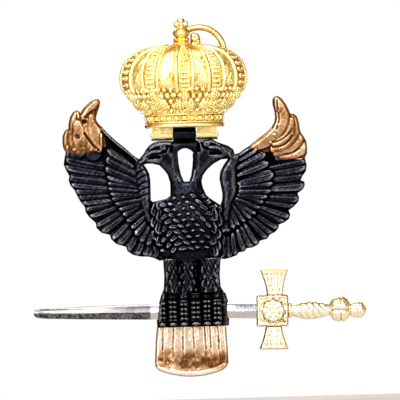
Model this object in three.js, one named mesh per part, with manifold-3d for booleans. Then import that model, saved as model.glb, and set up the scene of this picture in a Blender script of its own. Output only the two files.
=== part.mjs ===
// Double-headed eagle jewel: crown, hinged eagle, fixed sword and a swinging hanging ring.
// Millimetres. x runs left to right, y runs front (negative) to back, z is up.
// The shapes are drawn with z = 0 at the tail's lower edge, x = 0 on the centreline and the eagle's
// flat back at y = 0. The last step moves everything so the hanging eye's centre is the origin.
import * as THREE from 'three';
import Module from 'manifold-3d';

const wasm = await Module();
wasm.setup();

// ---- driving dimensions ----------------------------------------------------------------------
const FIT_GAP = 0.04;            // gap left between two fixed pieces that meet
const SWORD_Y = -3.7;            // depth of the sword's axis
const TILT = -0.0165;            // the sword's axis drops this much per mm to the right

const HINGE = { y: -2.48, z: 64.65, pinR: 0.6, knuckleR: 1.35, knuckleHalf: 3.05, runGap: 0.05 };
const TAB = { inner: 3.15, outer: 8.85, top: 66.4 };

const EYE = { x: 0.35, y: 2.75, z: 91.7, holeR: 1.75, thick: 1.1 };
const RING = { x: 4.55, z: 86.6, centreR: 6.6, wireR: 0.8, seamDeg: 56, seamGapDeg: 1.2 };

const CROWN = { x: 0.1, wall: 1.3, backThick: 0.8, ventR: 1.0, ventZ: 80 };
// [height, half width, depth] of the crown's plain dome, from its foot to its top
const CROWN_PROFILE = [
  [67.6, 9.85, 6.1], [70.2, 10.2, 6.4], [71.3, 11.0, 6.9], [72.6, 12.1, 7.7], [74.0, 13.4, 8.5],
  [75.7, 15.0, 9.3], [77.6, 16.2, 9.9], [79.8, 16.5, 10.2], [82.0, 16.1, 10.0], [84.0, 15.1, 9.5],
  [85.8, 13.1, 8.8], [86.9, 10.7, 8.0], [87.6, 7.6, 6.9], [88.1, 4.3, 5.4], [88.3, 2.3, 4.6],
];
const ARCHES = [
  { name: 'arch_far_left', deg: -70, half: 15 },
  { name: 'arch_left', deg: -33, half: 10.5 },
  { name: 'arch_centre', deg: 0, half: 9.3 },
  { name: 'arch_right', deg: 33, half: 10.5 },
  { name: 'arch_far_right', deg: 70, half: 15 },
];
const ARCH_PROUD = 0.7;          // how far an arch stands off the dome
const RIM = { low: 66.45, high: 67.55, half: 10.7, depth: 6.9 };
const FINIAL_Y = -2.45;          // depth of the finial's upright axis

// ---- colours ---------------------------------------------------------------------------------
const PAINT = {
  crown_gold: new THREE.MeshStandardMaterial({ color: 0xe8b84a, metalness: 1, roughness: 0.25 }),
  hilt_gold: new THREE.MeshStandardMaterial({ color: 0xf0d890, metalness: 1, roughness: 0.25 }),
  copper_gold: new THREE.MeshStandardMaterial({ color: 0xd9a273, metalness: 1, roughness: 0.35 }),
  black_finish: new THREE.MeshStandardMaterial({ color: 0x16161a, metalness: 0.2, roughness: 0.25 }),
  blade_steel: new THREE.MeshStandardMaterial({ color: 0xc9ccd0, metalness: 1, roughness: 0.2 }),
};

const row = new THREE.Group();   // everything, in the drawing's own frame

// ---- mesh helpers ----------------------------------------------------------------------------
function addMesh(name, geometry, paint) {
  const mesh = new THREE.Mesh(geometry, PAINT[paint]);
  mesh.name = name;
  row.add(mesh);
  return mesh;
}

function geometryOf(points, triangles) {
  const geometry = new THREE.BufferGeometry();
  geometry.setAttribute('position', new THREE.Float32BufferAttribute(points.flat(), 3));
  geometry.setIndex(triangles.flat());
  return geometry;
}

// Signed volume, used to turn a closed mesh the right way out.
function signedVolume(points, triangles) {
  let sum = 0;
  for (const [a, b, c] of triangles) {
    const [p, q, r] = [points[a], points[b], points[c]];
    sum += p[0] * (q[1] * r[2] - q[2] * r[1]);
    sum -= p[1] * (q[0] * r[2] - q[2] * r[0]);
    sum += p[2] * (q[0] * r[1] - q[1] * r[0]);
  }
  return sum / 6;
}

function faceOut(points, triangles) {
  if (signedVolume(points, triangles) >= 0) return triangles;
  return triangles.map(([a, b, c]) => [a, c, b]);
}

// Skin a list of equal-length closed rings, with a flat cap on each end ring.
function loftGeometry(rings, capOutline) {
  const count = rings[0].length;
  const points = rings.flat();
  const triangles = [];
  for (let s = 0; s + 1 < rings.length; s += 1) {
    for (let i = 0; i < count; i += 1) {
      const a = s * count + i;
      const b = s * count + ((i + 1) % count);
      triangles.push([a, b, a + count], [b, b + count, a + count]);
    }
  }
  const last = (rings.length - 1) * count;
  const capTriangles = (ring) => {
    const outline = ring.map(capOutline);
    const faces = THREE.ShapeUtils.triangulateShape(outline, []);
    return THREE.ShapeUtils.isClockWise(outline) ? faces.map(([a, b, c]) => [a, c, b]) : faces;
  };
  for (const [a, b, c] of capTriangles(rings[0])) triangles.push([a, c, b]);
  for (const [a, b, c] of capTriangles(rings[rings.length - 1])) {
    triangles.push([last + a, last + b, last + c]);
  }
  return geometryOf(points, faceOut(points, triangles));
}

// Sections stacked along z, each with a flat back at y = back and a bulging front.
// section = [z, left x, right x, depth]; power sets how square the front's corners are.
function domeLoft(sections, back = 0, steps = 14, power = 0.75) {
  const rings = sections.map(([z, left, right, depth]) => {
    const middle = (left + right) / 2;
    const half = (right - left) / 2;
    const ring = [];
    for (let i = 0; i <= steps; i += 1) {
      const angle = Math.PI * (1 - i / steps);
      const bulge = Math.pow(Math.max(Math.sin(angle), 0), power);
      ring.push([middle + half * Math.cos(angle), back - depth * bulge, z]);
    }
    return ring;
  });
  return loftGeometry(rings, (p) => new THREE.Vector2(p[0], p[1]));
}

// Move each corner of a closed outline inwards by `inset`.
function insetOutline(outline, inset) {
  const count = outline.length;
  const turn = THREE.ShapeUtils.area(outline.map(([x, z]) => new THREE.Vector2(x, z))) > 0 ? 1 : -1;
  return outline.map(([x, z], i) => {
    const before = outline[(i + count - 1) % count];
    const after = outline[(i + 1) % count];
    const inLen = Math.hypot(x - before[0], z - before[1]);
    const outLen = Math.hypot(after[0] - x, after[1] - z);
    const n1 = [-(z - before[1]) / inLen, (x - before[0]) / inLen];
    const n2 = [-(after[1] - z) / outLen, (after[0] - x) / outLen];
    const mid = [n1[0] + n2[0], n1[1] + n2[1]];
    const size = Math.max(Math.hypot(mid[0], mid[1]), 0.9);
    return [x + (turn * inset * mid[0] * 2) / (size * size), z + (turn * inset * mid[1] * 2) / (size * size)];
  });
}

// A plate in the x-z plane built from layers [y, inset], from the back to the front.
function plateGeometry(outline, layers) {
  const rings = layers.map(([y, inset]) => insetOutline(outline, inset).map(([x, z]) => [x, y, z]));
  return loftGeometry(rings, (p) => new THREE.Vector2(p[0], p[2]));
}

function shapeOf(outline) {
  return new THREE.Shape(outline.map(([x, y]) => new THREE.Vector2(x, y)));
}

function circleHole(x, y, radius, steps = 28) {
  const path = new THREE.Path();
  for (let i = 0; i < steps; i += 1) {
    const angle = (-2 * Math.PI * i) / steps;
    const put = i === 0 ? 'moveTo' : 'lineTo';
    path[put](x + radius * Math.cos(angle), y + radius * Math.sin(angle));
  }
  path.closePath();
  return path;
}

// A prism whose (y, z) outline runs from x = low to x = high.
function prismAlongX(outline, holes, low, high) {
  const shape = shapeOf(outline);
  shape.holes.push(...holes);
  const geometry = new THREE.ExtrudeGeometry(shape, { depth: high - low, bevelEnabled: false });
  const axes = new THREE.Matrix4().set(0, 0, 1, low, 1, 0, 0, 0, 0, 1, 0, 0, 0, 0, 0, 1);
  return geometry.applyMatrix4(axes);
}

// A turned shape about an axis along x. profile = [x, radius]; flatten squeezes its depth.
function turnedAlongX(profile, y, zAt, flatten, steps = 20) {
  const rings = profile.map(([x, radius]) => {
    const ring = [];
    for (let i = 0; i < steps; i += 1) {
      const angle = (2 * Math.PI * i) / steps;
      ring.push([x, y + flatten * radius * Math.cos(angle), zAt(x) + radius * Math.sin(angle)]);
    }
    return ring;
  });
  return loftGeometry(rings, (p) => new THREE.Vector2(p[1], p[2]));
}

// A turned shape about an upright axis at (x, y). profile = [z, radius]
function turnedUpright(profile, x, y, steps = 20) {
  const rings = profile.map(([z, radius]) => {
    const ring = [];
    for (let i = 0; i < steps; i += 1) {
      const angle = (2 * Math.PI * i) / steps;
      ring.push([x + radius * Math.cos(angle), y + radius * Math.sin(angle), z]);
    }
    return ring;
  });
  return loftGeometry(rings, (p) => new THREE.Vector2(p[0], p[1]));
}

function toManifold(geometry) {
  const source = geometry.index ? geometry.toNonIndexed() : geometry;
  const position = source.getAttribute('position');
  const keys = new Map();
  const vertices = [];
  const corners = [];
  for (let i = 0; i < position.count; i += 1) {
    const p = [position.getX(i), position.getY(i), position.getZ(i)];
    const key = p.map((value) => Math.round(value * 1e4)).join(',');
    if (!keys.has(key)) {
      keys.set(key, keys.size);
      vertices.push(...p);
    }
    corners.push(keys.get(key));
  }
  return new wasm.Manifold(new wasm.Mesh({
    numProp: 3,
    vertProperties: new Float32Array(vertices),
    triVerts: new Uint32Array(corners),
  }));
}

function fromManifold(solid) {
  const mesh = solid.getMesh();
  const geometry = new THREE.BufferGeometry();
  const positions = new THREE.Float32BufferAttribute(Array.from(mesh.vertProperties), 3);
  geometry.setAttribute('position', positions);
  geometry.setIndex(Array.from(mesh.triVerts));
  return geometry;
}

function boxGeometry(low, high) {
  const size = high.map((value, i) => value - low[i]);
  const geometry = new THREE.BoxGeometry(...size);
  return geometry.translate(...low.map((value, i) => value + size[i] / 2));
}

const swordZ = (x) => 17.35 + TILT * x;

// ---- crown -----------------------------------------------------------------------------------
const profileCurve = new THREE.CatmullRomCurve3(
  CROWN_PROFILE.map(([z, half, depth]) => new THREE.Vector3(half, depth, z)), false, 'centripetal');

// A point on the dome: angle round the front in degrees, place along the profile, distance off it.
function domePoint(deg, place, offset) {
  const angle = THREE.MathUtils.degToRad(deg);
  const at = (t) => profileCurve.getPoint(THREE.MathUtils.clamp(t, 0, 1));
  const surface = (a, t) => {
    const p = at(t);
    return new THREE.Vector3(CROWN.x + p.x * Math.sin(a), -p.y * Math.cos(a), p.z);
  };
  const step = 0.004;
  const along = surface(angle, Math.min(place + step, 1)).sub(surface(angle, Math.max(place - step, 0)));
  const round = surface(angle + step, place).sub(surface(angle - step, place));
  const normal = new THREE.Vector3().crossVectors(round, along).normalize();
  return surface(angle, place).addScaledVector(normal, offset);
}

// Where along the profile a height falls.
function placeAt(z) {
  let low = 0;
  let high = 1;
  for (let i = 0; i < 40; i += 1) {
    const middle = (low + high) / 2;
    if (profileCurve.getPoint(middle).z < z) low = middle;
    else high = middle;
  }
  return (low + high) / 2;
}

// The dome as one solid block, standing `offset` proud, used to trim what sits on the dome.
const DOME_ROWS = 17;
const DOME_COLUMNS = 24;
function domeRing(row, offset) {
  const ring = [];
  for (let c = 0; c <= DOME_COLUMNS; c += 1) {
    const deg = -90 + (180 * c) / DOME_COLUMNS;
    ring.push(domePoint(deg, row / DOME_ROWS, offset).toArray());
  }
  return ring;
}

function domeBlock(offset) {
  const rings = [];
  for (let r = 0; r <= DOME_ROWS; r += 1) rings.push(domeRing(r, offset));
  const foot = rings[0].map(([x, y, z]) => [x, y, z - 1.5]);
  return toManifold(loftGeometry([foot, ...rings], (p) => new THREE.Vector2(p[0], p[1])));
}

const domeTrim = domeBlock(0.02);
const trimToDome = (geometry) => fromManifold(toManifold(geometry).subtract(domeTrim));

// A raised patch on the dome, as wide as halfDeg(s) either side of its centre, s from 0 to 1.
function domePatch(centreDeg, halfDeg, zLow, zHigh, proud, rows, columns) {
  const rings = [];
  const [t0, t1] = [placeAt(zLow), placeAt(zHigh)];
  for (let r = 0; r <= rows; r += 1) {
    const s = r / rows;
    const place = t0 + (t1 - t0) * s;
    const front = [];
    const back = [];
    for (let c = 0; c <= columns; c += 1) {
      const deg = centreDeg + halfDeg(s) * (-1 + (2 * c) / columns);
      const clamped = THREE.MathUtils.clamp(deg, -89.5, 89.5);
      front.push(domePoint(clamped, place, proud).toArray());
      back.push(domePoint(clamped, place, -0.5).toArray());
    }
    rings.push([...front, ...back.reverse()]);
  }
  return trimToDome(loftGeometry(rings, (p) => new THREE.Vector2(p[0], p[1])));
}

function crownShell() {
  const rings = [];
  for (let r = 0; r <= DOME_ROWS; r += 1) {
    rings.push([...domeRing(r, 0), ...domeRing(r, -CROWN.wall).reverse()]);
  }
  return loftGeometry(rings, (p) => new THREE.Vector2(p[0], p[1]));
}

// The D-shaped outline of a slice through the crown, seen from above.
function dOutline(half, depth, back, steps = 24) {
  const outline = [];
  for (let i = 0; i <= steps; i += 1) {
    const angle = Math.PI * (1 - i / steps);
    outline.push([CROWN.x + half * Math.cos(angle), back - depth * Math.sin(angle)]);
  }
  return outline;
}

function crownRim() {
  const middle = (RIM.low + RIM.high) / 2;
  const layers = [[RIM.low, 0.35], [middle - 0.3, 0], [middle + 0.3, 0], [RIM.high, 0.35]];
  const rings = layers.map(([z, inset]) =>
    dOutline(RIM.half - inset, RIM.depth - inset, 0).map(([x, y]) => [x, y, z]));
  return loftGeometry(rings, (p) => new THREE.Vector2(p[0], p[1]));
}

function crownBackPlate() {
  const outline = [];
  const side = [];
  const rows = 26;
  for (let r = 0; r <= rows; r += 1) {
    const p = profileCurve.getPoint(r / rows);
    side.push([p.x - 0.1, p.z]);
  }
  for (const [half, z] of side) outline.push([CROWN.x + half, z]);
  for (const [half, z] of [...side].reverse()) outline.push([CROWN.x - half, z]);
  const shape = shapeOf(outline);
  shape.holes.push(circleHole(CROWN.x, CROWN.ventZ, CROWN.ventR, 20));
  const geometry = new THREE.ExtrudeGeometry(shape, { depth: CROWN.backThick, bevelEnabled: false });
  geometry.rotateX(Math.PI / 2);
  return geometry.translate(0, FIT_GAP + CROWN.backThick, 0);
}

addMesh('crown_shell', crownShell(), 'crown_gold');
addMesh('crown_back_plate', crownBackPlate(), 'crown_gold');
addMesh('crown_rim', crownRim(), 'crown_gold');
addMesh('crown_band', domePatch(0, () => 89.5, 67.75, 70.1, 0.55, 2, 24), 'crown_gold');

for (const arch of ARCHES) {
  const taper = (s) => arch.half * (0.86 + 0.5 * Math.sin(Math.PI * s) * 0.3 + 0.55 * s ** 6);
  const body = domePatch(arch.deg, taper, 75.9, 87.3, ARCH_PROUD, 10, 3);
  addMesh(arch.name, body, 'crown_gold');
  const leaf = (s) => arch.half * 1.25 * (1 - 0.45 * s * s);
  const name = arch.name.replace('arch', 'fleuron');
  addMesh(name, domePatch(arch.deg, leaf, 70.25, 75.7, 0.62, 5, 3), 'crown_gold');
}

// ---- finial, lug and hanging eye ---------------------------------------------------------------
const FINIAL_X = -0.1;
const collarProfile = [[87.5, 2.2], [88.9, 2.3], [89.3, 2.0], [89.6, 1.75], [90.0, 2.0], [90.25, 1.6]];
const orbProfile = [[90.29, 1.2], [90.5, 1.75], [91.0, 2.1], [91.6, 2.2], [92.2, 2.05], [92.7, 1.5], [92.95, 0.8]];
addMesh('finial_collar', trimToDome(turnedUpright(collarProfile, FINIAL_X, FINIAL_Y)), 'crown_gold');
addMesh('finial_orb', turnedUpright(orbProfile, FINIAL_X, FINIAL_Y), 'crown_gold');

const CROSS = { low: 92.99, top: 95.5, armZ: 94.0, armHalf: 1.75, barHalf: 0.55, flare: 0.95, thick: 1.2 };
function crossOutline() {
  const { low, top, armZ, armHalf, barHalf, flare } = CROSS;
  const right = [
    [flare, low], [barHalf, armZ - 0.5], [armHalf, armZ - 0.75], [armHalf, armZ + 0.7],
    [barHalf, armZ + 0.45], [flare, top - 0.35], [0.5, top],
  ];
  const left = [...right].reverse().map(([x, z]) => [-x, z]);
  return [...right, ...left].map(([x, z]) => [FINIAL_X + x, z]);
}
const crossBack = FINIAL_Y + CROSS.thick / 2;
const crossFront = FINIAL_Y - CROSS.thick / 2;
addMesh('finial_cross', plateGeometry(crossOutline(), [
  [crossBack, 0.12], [crossBack - 0.2, 0], [crossFront + 0.2, 0], [crossFront, 0.12],
]), 'crown_gold');

const lugOutline = [
  [0.8, 87.7], [4.6, 87.4], [5.0, 88.6], [4.9, 90.7], [4.3, 91.5], [2.9, 91.8], [1.9, 91.5], [0.8, 90.4],
];
const lugPlate = plateGeometry(lugOutline, [[-0.1, 0.2], [-0.3, 0], [-1.6, 0], [-2.0, 0.3]]);
const finialColumn = toManifold(turnedUpright([[87, 2.34], [93, 2.34]], FINIAL_X, FINIAL_Y));
const lugOnDome = toManifold(trimToDome(lugPlate));
addMesh('lug_boss', fromManifold(lugOnDome.subtract(finialColumn)), 'crown_gold');

function eyeOutline() {
  const outerR = EYE.holeR + 1.05;
  const outline = [];
  const steps = 24;
  for (let i = 0; i <= steps; i += 1) {
    const angle = -Math.PI * 0.36 + (Math.PI * 1.36 * i) / steps;
    outline.push([EYE.y + outerR * Math.cos(angle), EYE.z + outerR * Math.sin(angle)]);
  }
  outline.push([EYE.y - outerR, 88.38], [0.88, 88.38], [0.88, 86.6], [1.9, 86.9]);
  return outline;
}
const eyeHole = circleHole(EYE.y, EYE.z, EYE.holeR);
const eyeLow = EYE.x - EYE.thick / 2;
addMesh('hanging_eye', prismAlongX(eyeOutline(), [eyeHole], eyeLow, eyeLow + EYE.thick), 'crown_gold');

// ---- hinge -------------------------------------------------------------------------------------
function barrelOutline(radius, top) {
  const outline = [];
  const steps = 16;
  for (let i = 0; i <= steps; i += 1) {
    const angle = Math.PI + (Math.PI * i) / steps;
    outline.push([HINGE.y + radius * Math.cos(angle), HINGE.z + radius * Math.sin(angle)]);
  }
  outline.push([HINGE.y + radius, top], [HINGE.y - radius, top]);
  return outline;
}
for (const side of [-1, 1]) {
  const name = side < 0 ? 'hinge_tab_left' : 'hinge_tab_right';
  const [low, high] = side < 0 ? [-TAB.outer, -TAB.inner] : [TAB.inner, TAB.outer];
  const hole = circleHole(HINGE.y, HINGE.z, HINGE.pinR + 0.015);
  addMesh(name, prismAlongX(barrelOutline(HINGE.knuckleR, TAB.top), [hole], low, high), 'crown_gold');
}
const PIN_END = TAB.outer + 0.25;
addMesh('hinge_pin', turnedAlongX([
  [-PIN_END, 0.4], [-PIN_END + 0.15, HINGE.pinR], [PIN_END - 0.15, HINGE.pinR], [PIN_END, 0.4],
], HINGE.y, () => HINGE.z, 1, 28), 'crown_gold');

// The black knuckle: a barrel on the pin, and a stem down to the bridge between the two heads.
function knuckleOutline() {
  const outline = [];
  const steps = 20;
  for (let i = 0; i <= steps; i += 1) {
    const angle = -Math.PI * 0.2 + (Math.PI * 1.4 * i) / steps;
    outline.push([
      HINGE.y + HINGE.knuckleR * Math.cos(angle),
      HINGE.z + HINGE.knuckleR * Math.sin(angle),
    ]);
  }
  outline.push([-3.4, 62.9], [-4.6, 62.2], [-4.6, 60.75], [-0.3, 60.75], [-0.3, 63.1]);
  return outline;
}
const knuckleHole = circleHole(HINGE.y, HINGE.z, HINGE.pinR + HINGE.runGap);
addMesh('hinge_knuckle',
  prismAlongX(knuckleOutline(), [knuckleHole], -HINGE.knuckleHalf, HINGE.knuckleHalf), 'black_finish');

// ---- hanging ring --------------------------------------------------------------------------------
// Round wire bent into a circle, its two ends meeting at a butt seam.
function hangingRing() {
  const rings = [];
  const turns = 48;
  const sides = 10;
  const start = RING.seamDeg + RING.seamGapDeg / 2;
  const sweep = 360 - RING.seamGapDeg;
  for (let r = 0; r <= turns; r += 1) {
    const angle = THREE.MathUtils.degToRad(start + (sweep * r) / turns);
    const ring = [];
    for (let i = 0; i < sides; i += 1) {
      const round = (2 * Math.PI * i) / sides;
      const reach = RING.centreR + RING.wireR * Math.cos(round);
      ring.push([
        RING.x + reach * Math.cos(angle),
        EYE.y + RING.wireR * Math.sin(round),
        RING.z + reach * Math.sin(angle),
      ]);
    }
    rings.push(ring);
  }
  const cap = (p) => new THREE.Vector2(Math.hypot(p[0] - RING.x, p[2] - RING.z), p[1]);
  return loftGeometry(rings, cap);
}
addMesh('jump_ring', hangingRing(), 'crown_gold');

// ---- eagle ---------------------------------------------------------------------------------------
const TORSO = [
  [31.2, -6.6, 8.7, 6.2], [33.0, -7.4, 9.1, 7.2], [36.0, -8.2, 9.3, 8.0], [40.0, -8.8, 9.2, 8.6],
  [43.5, -9.2, 9.1, 8.4], [45.5, -9.3, 9.0, 8.0], [46.8, -9.0, 7.1, 7.4], [47.5, -5.3, 6.1, 6.8],
  [48.3, -4.2, 5.3, 6.3], [50.2, -4.1, 4.5, 5.6], [52.0, -4.15, 4.15, 5.2],
];
addMesh('eagle_body', domeLoft(TORSO), 'black_finish');

const HEAD_LEFT = [
  [-4.2, 52.05], [-4.75, 54.0], [-5.6, 55.2], [-6.9, 56.6], [-8.8, 57.1], [-10.1, 57.15], [-11.1, 56.9],
  [-12.3, 58.3], [-11.1, 59.6], [-10.3, 60.9], [-9.4, 61.9], [-8.4, 62.6], [-7.2, 62.95], [-5.0, 63.0],
  [-3.1, 62.9], [-3.1, 60.7], [-2.0, 60.3], [-1.95, 58.5], [-1.8, 56.5], [-1.3, 54.0], [-0.75, 52.6], [-0.6, 52.05],
];
const HEAD_RIGHT = [
  [1.0, 52.05], [1.15, 52.6], [1.5, 53.5], [1.9, 55.8], [2.1, 57.8], [2.05, 59.0], [2.4, 60.6],
  [3.1, 60.7], [3.1, 62.9], [5.0, 63.0], [7.4, 63.1], [8.5, 62.4], [10.0, 61.8], [11.6, 61.2], [12.9, 60.2],
  [13.2, 58.9], [12.4, 58.2], [11.3, 57.85], [9.5, 57.7], [7.6, 56.7], [5.8, 55.2], [4.6, 53.6], [4.15, 52.05],
];
const HEAD_LAYERS = [[0, 0.15], [-0.4, 0], [-4.4, 0], [-5.1, 0.3]];
addMesh('head_left', plateGeometry(HEAD_LEFT, HEAD_LAYERS), 'black_finish');
addMesh('head_right', plateGeometry(HEAD_RIGHT, HEAD_LAYERS), 'black_finish');

const WING_LEFT = [
  [-12.4, 58.3], [-14.0, 59.5], [-16.0, 61.4], [-18.5, 63.5], [-20.6, 65.5], [-21.7, 66.8], [-21.35, 65.0],
  [-21.15, 63.0], [-21.0, 61.8], [-22.5, 61.2], [-24.0, 60.8], [-26.2, 60.4], [-27.5, 60.15], [-29.2, 60.2],
  [-30.5, 60.5], [-31.75, 60.8], [-32.2, 58.8], [-32.4, 57.5], [-31.8, 55.9], [-31.0, 54.4], [-31.2, 53.2],
  [-30.8, 51.9], [-29.8, 50.7], [-29.1, 49.2], [-28.3, 47.6], [-27.1, 46.0], [-26.9, 44.6], [-25.9, 43.2],
  [-24.3, 41.7], [-24.1, 40.3], [-22.8, 39.0], [-20.6, 38.4], [-20.3, 37.2], [-18.9, 35.9], [-16.4, 35.1],
  [-16.0, 33.9], [-14.6, 32.9], [-12.6, 32.4], [-10.5, 32.3], [-9.0, 31.9], [-7.6, 31.15], [-6.7, 31.2],
  [-7.5, 33.0], [-8.3, 36.0], [-8.9, 40.0], [-9.3, 43.5], [-9.4, 45.5], [-9.1, 46.9], [-9.5, 47.3],
  [-9.5, 50.0], [-9.5, 52.5], [-9.7, 54.2], [-10.3, 55.6], [-11.15, 56.85],
];
const WING_RIGHT = [
  [13.3, 58.9], [14.6, 59.3], [16.0, 60.3], [17.2, 61.0], [18.3, 60.0], [19.5, 59.3], [20.6, 59.0],
  [21.6, 59.3], [22.6, 59.3], [23.2, 58.5], [24.0, 58.2], [25.5, 57.5], [27.3, 57.2], [29.3, 57.0],
  [30.8, 57.0], [31.9, 57.5], [32.35, 55.5], [32.1, 54.0], [31.1, 52.6], [30.6, 51.5], [31.6, 51.1],
  [31.7, 50.2], [31.1, 49.1], [29.7, 48.1], [30.1, 46.8], [29.8, 45.8], [28.5, 44.5], [27.2, 43.6],
  [27.6, 42.4], [27.2, 41.3], [25.9, 40.4], [24.5, 39.9], [24.3, 38.9], [23.5, 38.0], [22.0, 37.3],
  [21.3, 36.2], [19.3, 35.7], [18.8, 34.7], [17.3, 34.0], [15.7, 33.8], [15.1, 33.0], [13.6, 32.8],
  [13.0, 32.0], [11.2, 31.4], [9.9, 31.1], [8.8, 31.2], [9.2, 33.0], [9.4, 36.0], [9.3, 40.0],
  [9.2, 43.5], [9.1, 45.5], [9.6, 46.8], [9.75, 48.5], [9.4, 50.4], [9.05, 52.5], [9.3, 54.4],
  [10.3, 56.2], [11.45, 57.75], [12.45, 58.1],
];
const TIP_LEFT = [
  [-21.75, 66.95], [-22.5, 67.6], [-23.3, 68.6], [-23.6, 69.6], [-23.2, 71.0], [-22.6, 72.5], [-22.3, 73.9],
  [-22.7, 74.6], [-23.4, 74.7], [-24.6, 74.2], [-26.2, 72.9], [-27.2, 71.7], [-27.6, 70.9], [-28.0, 71.5],
  [-28.7, 71.8], [-29.5, 71.4], [-30.3, 70.2], [-30.8, 68.5], [-30.9, 66.9], [-31.3, 66.8], [-31.9, 66.4],
  [-32.5, 65.0], [-32.6, 63.2], [-32.4, 61.9], [-31.85, 60.9], [-30.5, 60.6], [-29.2, 60.3], [-27.5, 60.25],
  [-26.2, 60.5], [-24.0, 60.9], [-22.5, 61.3], [-21.05, 61.9], [-21.2, 63.0], [-21.4, 65.0],
];
const TIP_RIGHT = [
  [17.25, 61.1], [19.5, 62.8], [21.5, 64.2], [23.3, 65.8], [24.1, 67.2], [24.4, 68.6], [24.2, 70.3],
  [23.8, 72.0], [23.8, 73.3], [24.3, 74.0], [25.1, 74.2], [26.2, 73.4], [27.3, 71.8], [28.0, 70.3],
  [28.4, 69.3], [29.2, 69.3], [30.1, 68.6], [30.6, 67.0], [30.75, 65.2], [31.1, 64.1], [31.7, 63.3],
  [32.4, 61.9], [32.6, 60.2], [32.5, 58.6], [31.95, 57.6], [30.8, 57.1], [29.3, 57.1], [27.3, 57.3],
  [25.5, 57.6], [24.0, 58.3], [23.3, 58.6], [22.7, 59.4], [21.6, 59.4], [20.6, 59.1], [19.5, 59.4],
  [18.4, 60.1],
];
const WING_LAYERS = [[0, 0.1], [-0.3, 0], [-2.7, 0], [-3.4, 0.3]];
const TIP_LAYERS = [[0, 0.1], [-0.3, 0], [-2.4, 0], [-3.0, 0.25]];
addMesh('wing_left', plateGeometry(WING_LEFT, WING_LAYERS), 'black_finish');
addMesh('wing_right', plateGeometry(WING_RIGHT, WING_LAYERS), 'black_finish');
addMesh('wing_tip_left', plateGeometry(TIP_LEFT, TIP_LAYERS), 'copper_gold');
addMesh('wing_tip_right', plateGeometry(TIP_RIGHT, TIP_LAYERS), 'copper_gold');

const LEGS = {
  thigh_left: [[22.1, -7.2, -2.45, 5.4], [23.6, -6.6, -2.45, 5.9], [27.0, -6.4, -2.45, 6.1], [31.1, -6.55, -2.45, 5.9]],
  belly_feathers: [[22.1, -2.4, 2.35, 4.8], [25.0, -2.4, 2.35, 5.4], [31.1, -2.4, 2.35, 5.8]],
  thigh_right: [[22.1, 2.4, 9.4, 5.4], [23.6, 2.4, 8.5, 5.9], [27.0, 2.4, 8.3, 6.1], [31.1, 2.4, 8.65, 5.9]],
};
for (const [name, sections] of Object.entries(LEGS)) {
  addMesh(name, domeLoft(sections, 0, 12, 0.5), 'black_finish');
}

// Each foot grips the blade, so the blade's tunnel is cut through both.
const BLADE = { thick: 2.0, top: 19.62, low: 15.25 };
const slotLow = [-12, SWORD_Y - BLADE.thick / 2 - 0.04, BLADE.low - 0.03];
const slotHigh = [14, SWORD_Y + BLADE.thick / 2 + 0.04, BLADE.top + 0.04];
const bladeSlot = toManifold(boxGeometry(slotLow, slotHigh));
const FEET = {
  talon_left: [
    [13.4, -8.6, 0.1, 5.6], [15.0, -8.7, 0.1, 7.0], [17.5, -8.4, 0.1, 7.9], [20.0, -7.9, 0.1, 7.4], [22.05, -7.3, 0.1, 5.7],
  ],
  talon_right: [
    [13.4, 0.15, 10.4, 5.6], [15.0, 0.15, 10.5, 7.0], [17.5, 0.15, 10.5, 7.9], [20.0, 0.15, 10.3, 7.4],
    [22.05, 0.15, 9.7, 5.7],
  ],
};
for (const [name, sections] of Object.entries(FEET)) {
  const foot = toManifold(domeLoft(sections, 0, 14, 0.4)).subtract(bladeSlot);
  addMesh(name, fromManifold(foot), 'black_finish');
}

const TAIL = [
  [-8.7, 13.35], [-9.0, 11.0], [-9.3, 7.0], [-9.5, 4.0], [-9.35, 2.8], [-8.6, 1.9], [-7.5, 1.4], [-5.0, 0.6],
  [-2.0, 0.1], [0.3, 0.0], [3.0, 0.1], [5.0, 0.5], [7.0, 1.0], [8.5, 1.6], [9.5, 2.4], [10.0, 3.5],
  [9.9, 7.0], [9.7, 11.0], [9.6, 13.35],
];
addMesh('tail', plateGeometry(TAIL, [[0, 0.15], [-0.3, 0], [-2.6, 0], [-3.6, 0.45]]), 'copper_gold');

// ---- sword ---------------------------------------------------------------------------------------
// [x, top, bottom, ridge] of the blade, from its point to the guard
const BLADE_SECTIONS = [
  [-41.4, 18.65, 18.15, 18.4], [-40.9, 18.9, 17.6, 18.3], [-40.0, 19.05, 17.1, 18.15],
  [-38.2, 19.2, 16.6, 17.95], [-30.0, 19.4, 16.15, 17.75], [-20.0, 19.58, 15.8, 17.6],
  [-10.0, 19.58, 15.5, 17.45], [10.4, 19.55, 15.32, 17.2], [17.9, 19.35, 15.05, 17.1],
];
function bladeGeometry() {
  const edge = 0.14;
  const rings = BLADE_SECTIONS.map(([x, top, low, ridge], i) => {
    const half = (BLADE.thick / 2) * (i === 0 ? 0.3 : Math.min(1, 0.55 + i * 0.15));
    return [
      [x, SWORD_Y - edge, top], [x, SWORD_Y - half, ridge], [x, SWORD_Y - edge, low],
      [x, SWORD_Y + edge, low], [x, SWORD_Y + half, ridge], [x, SWORD_Y + edge, top],
    ];
  });
  return loftGeometry(rings, (p) => new THREE.Vector2(p[1], p[2]));
}
addMesh('sword_blade', bladeGeometry(), 'blade_steel');

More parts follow.
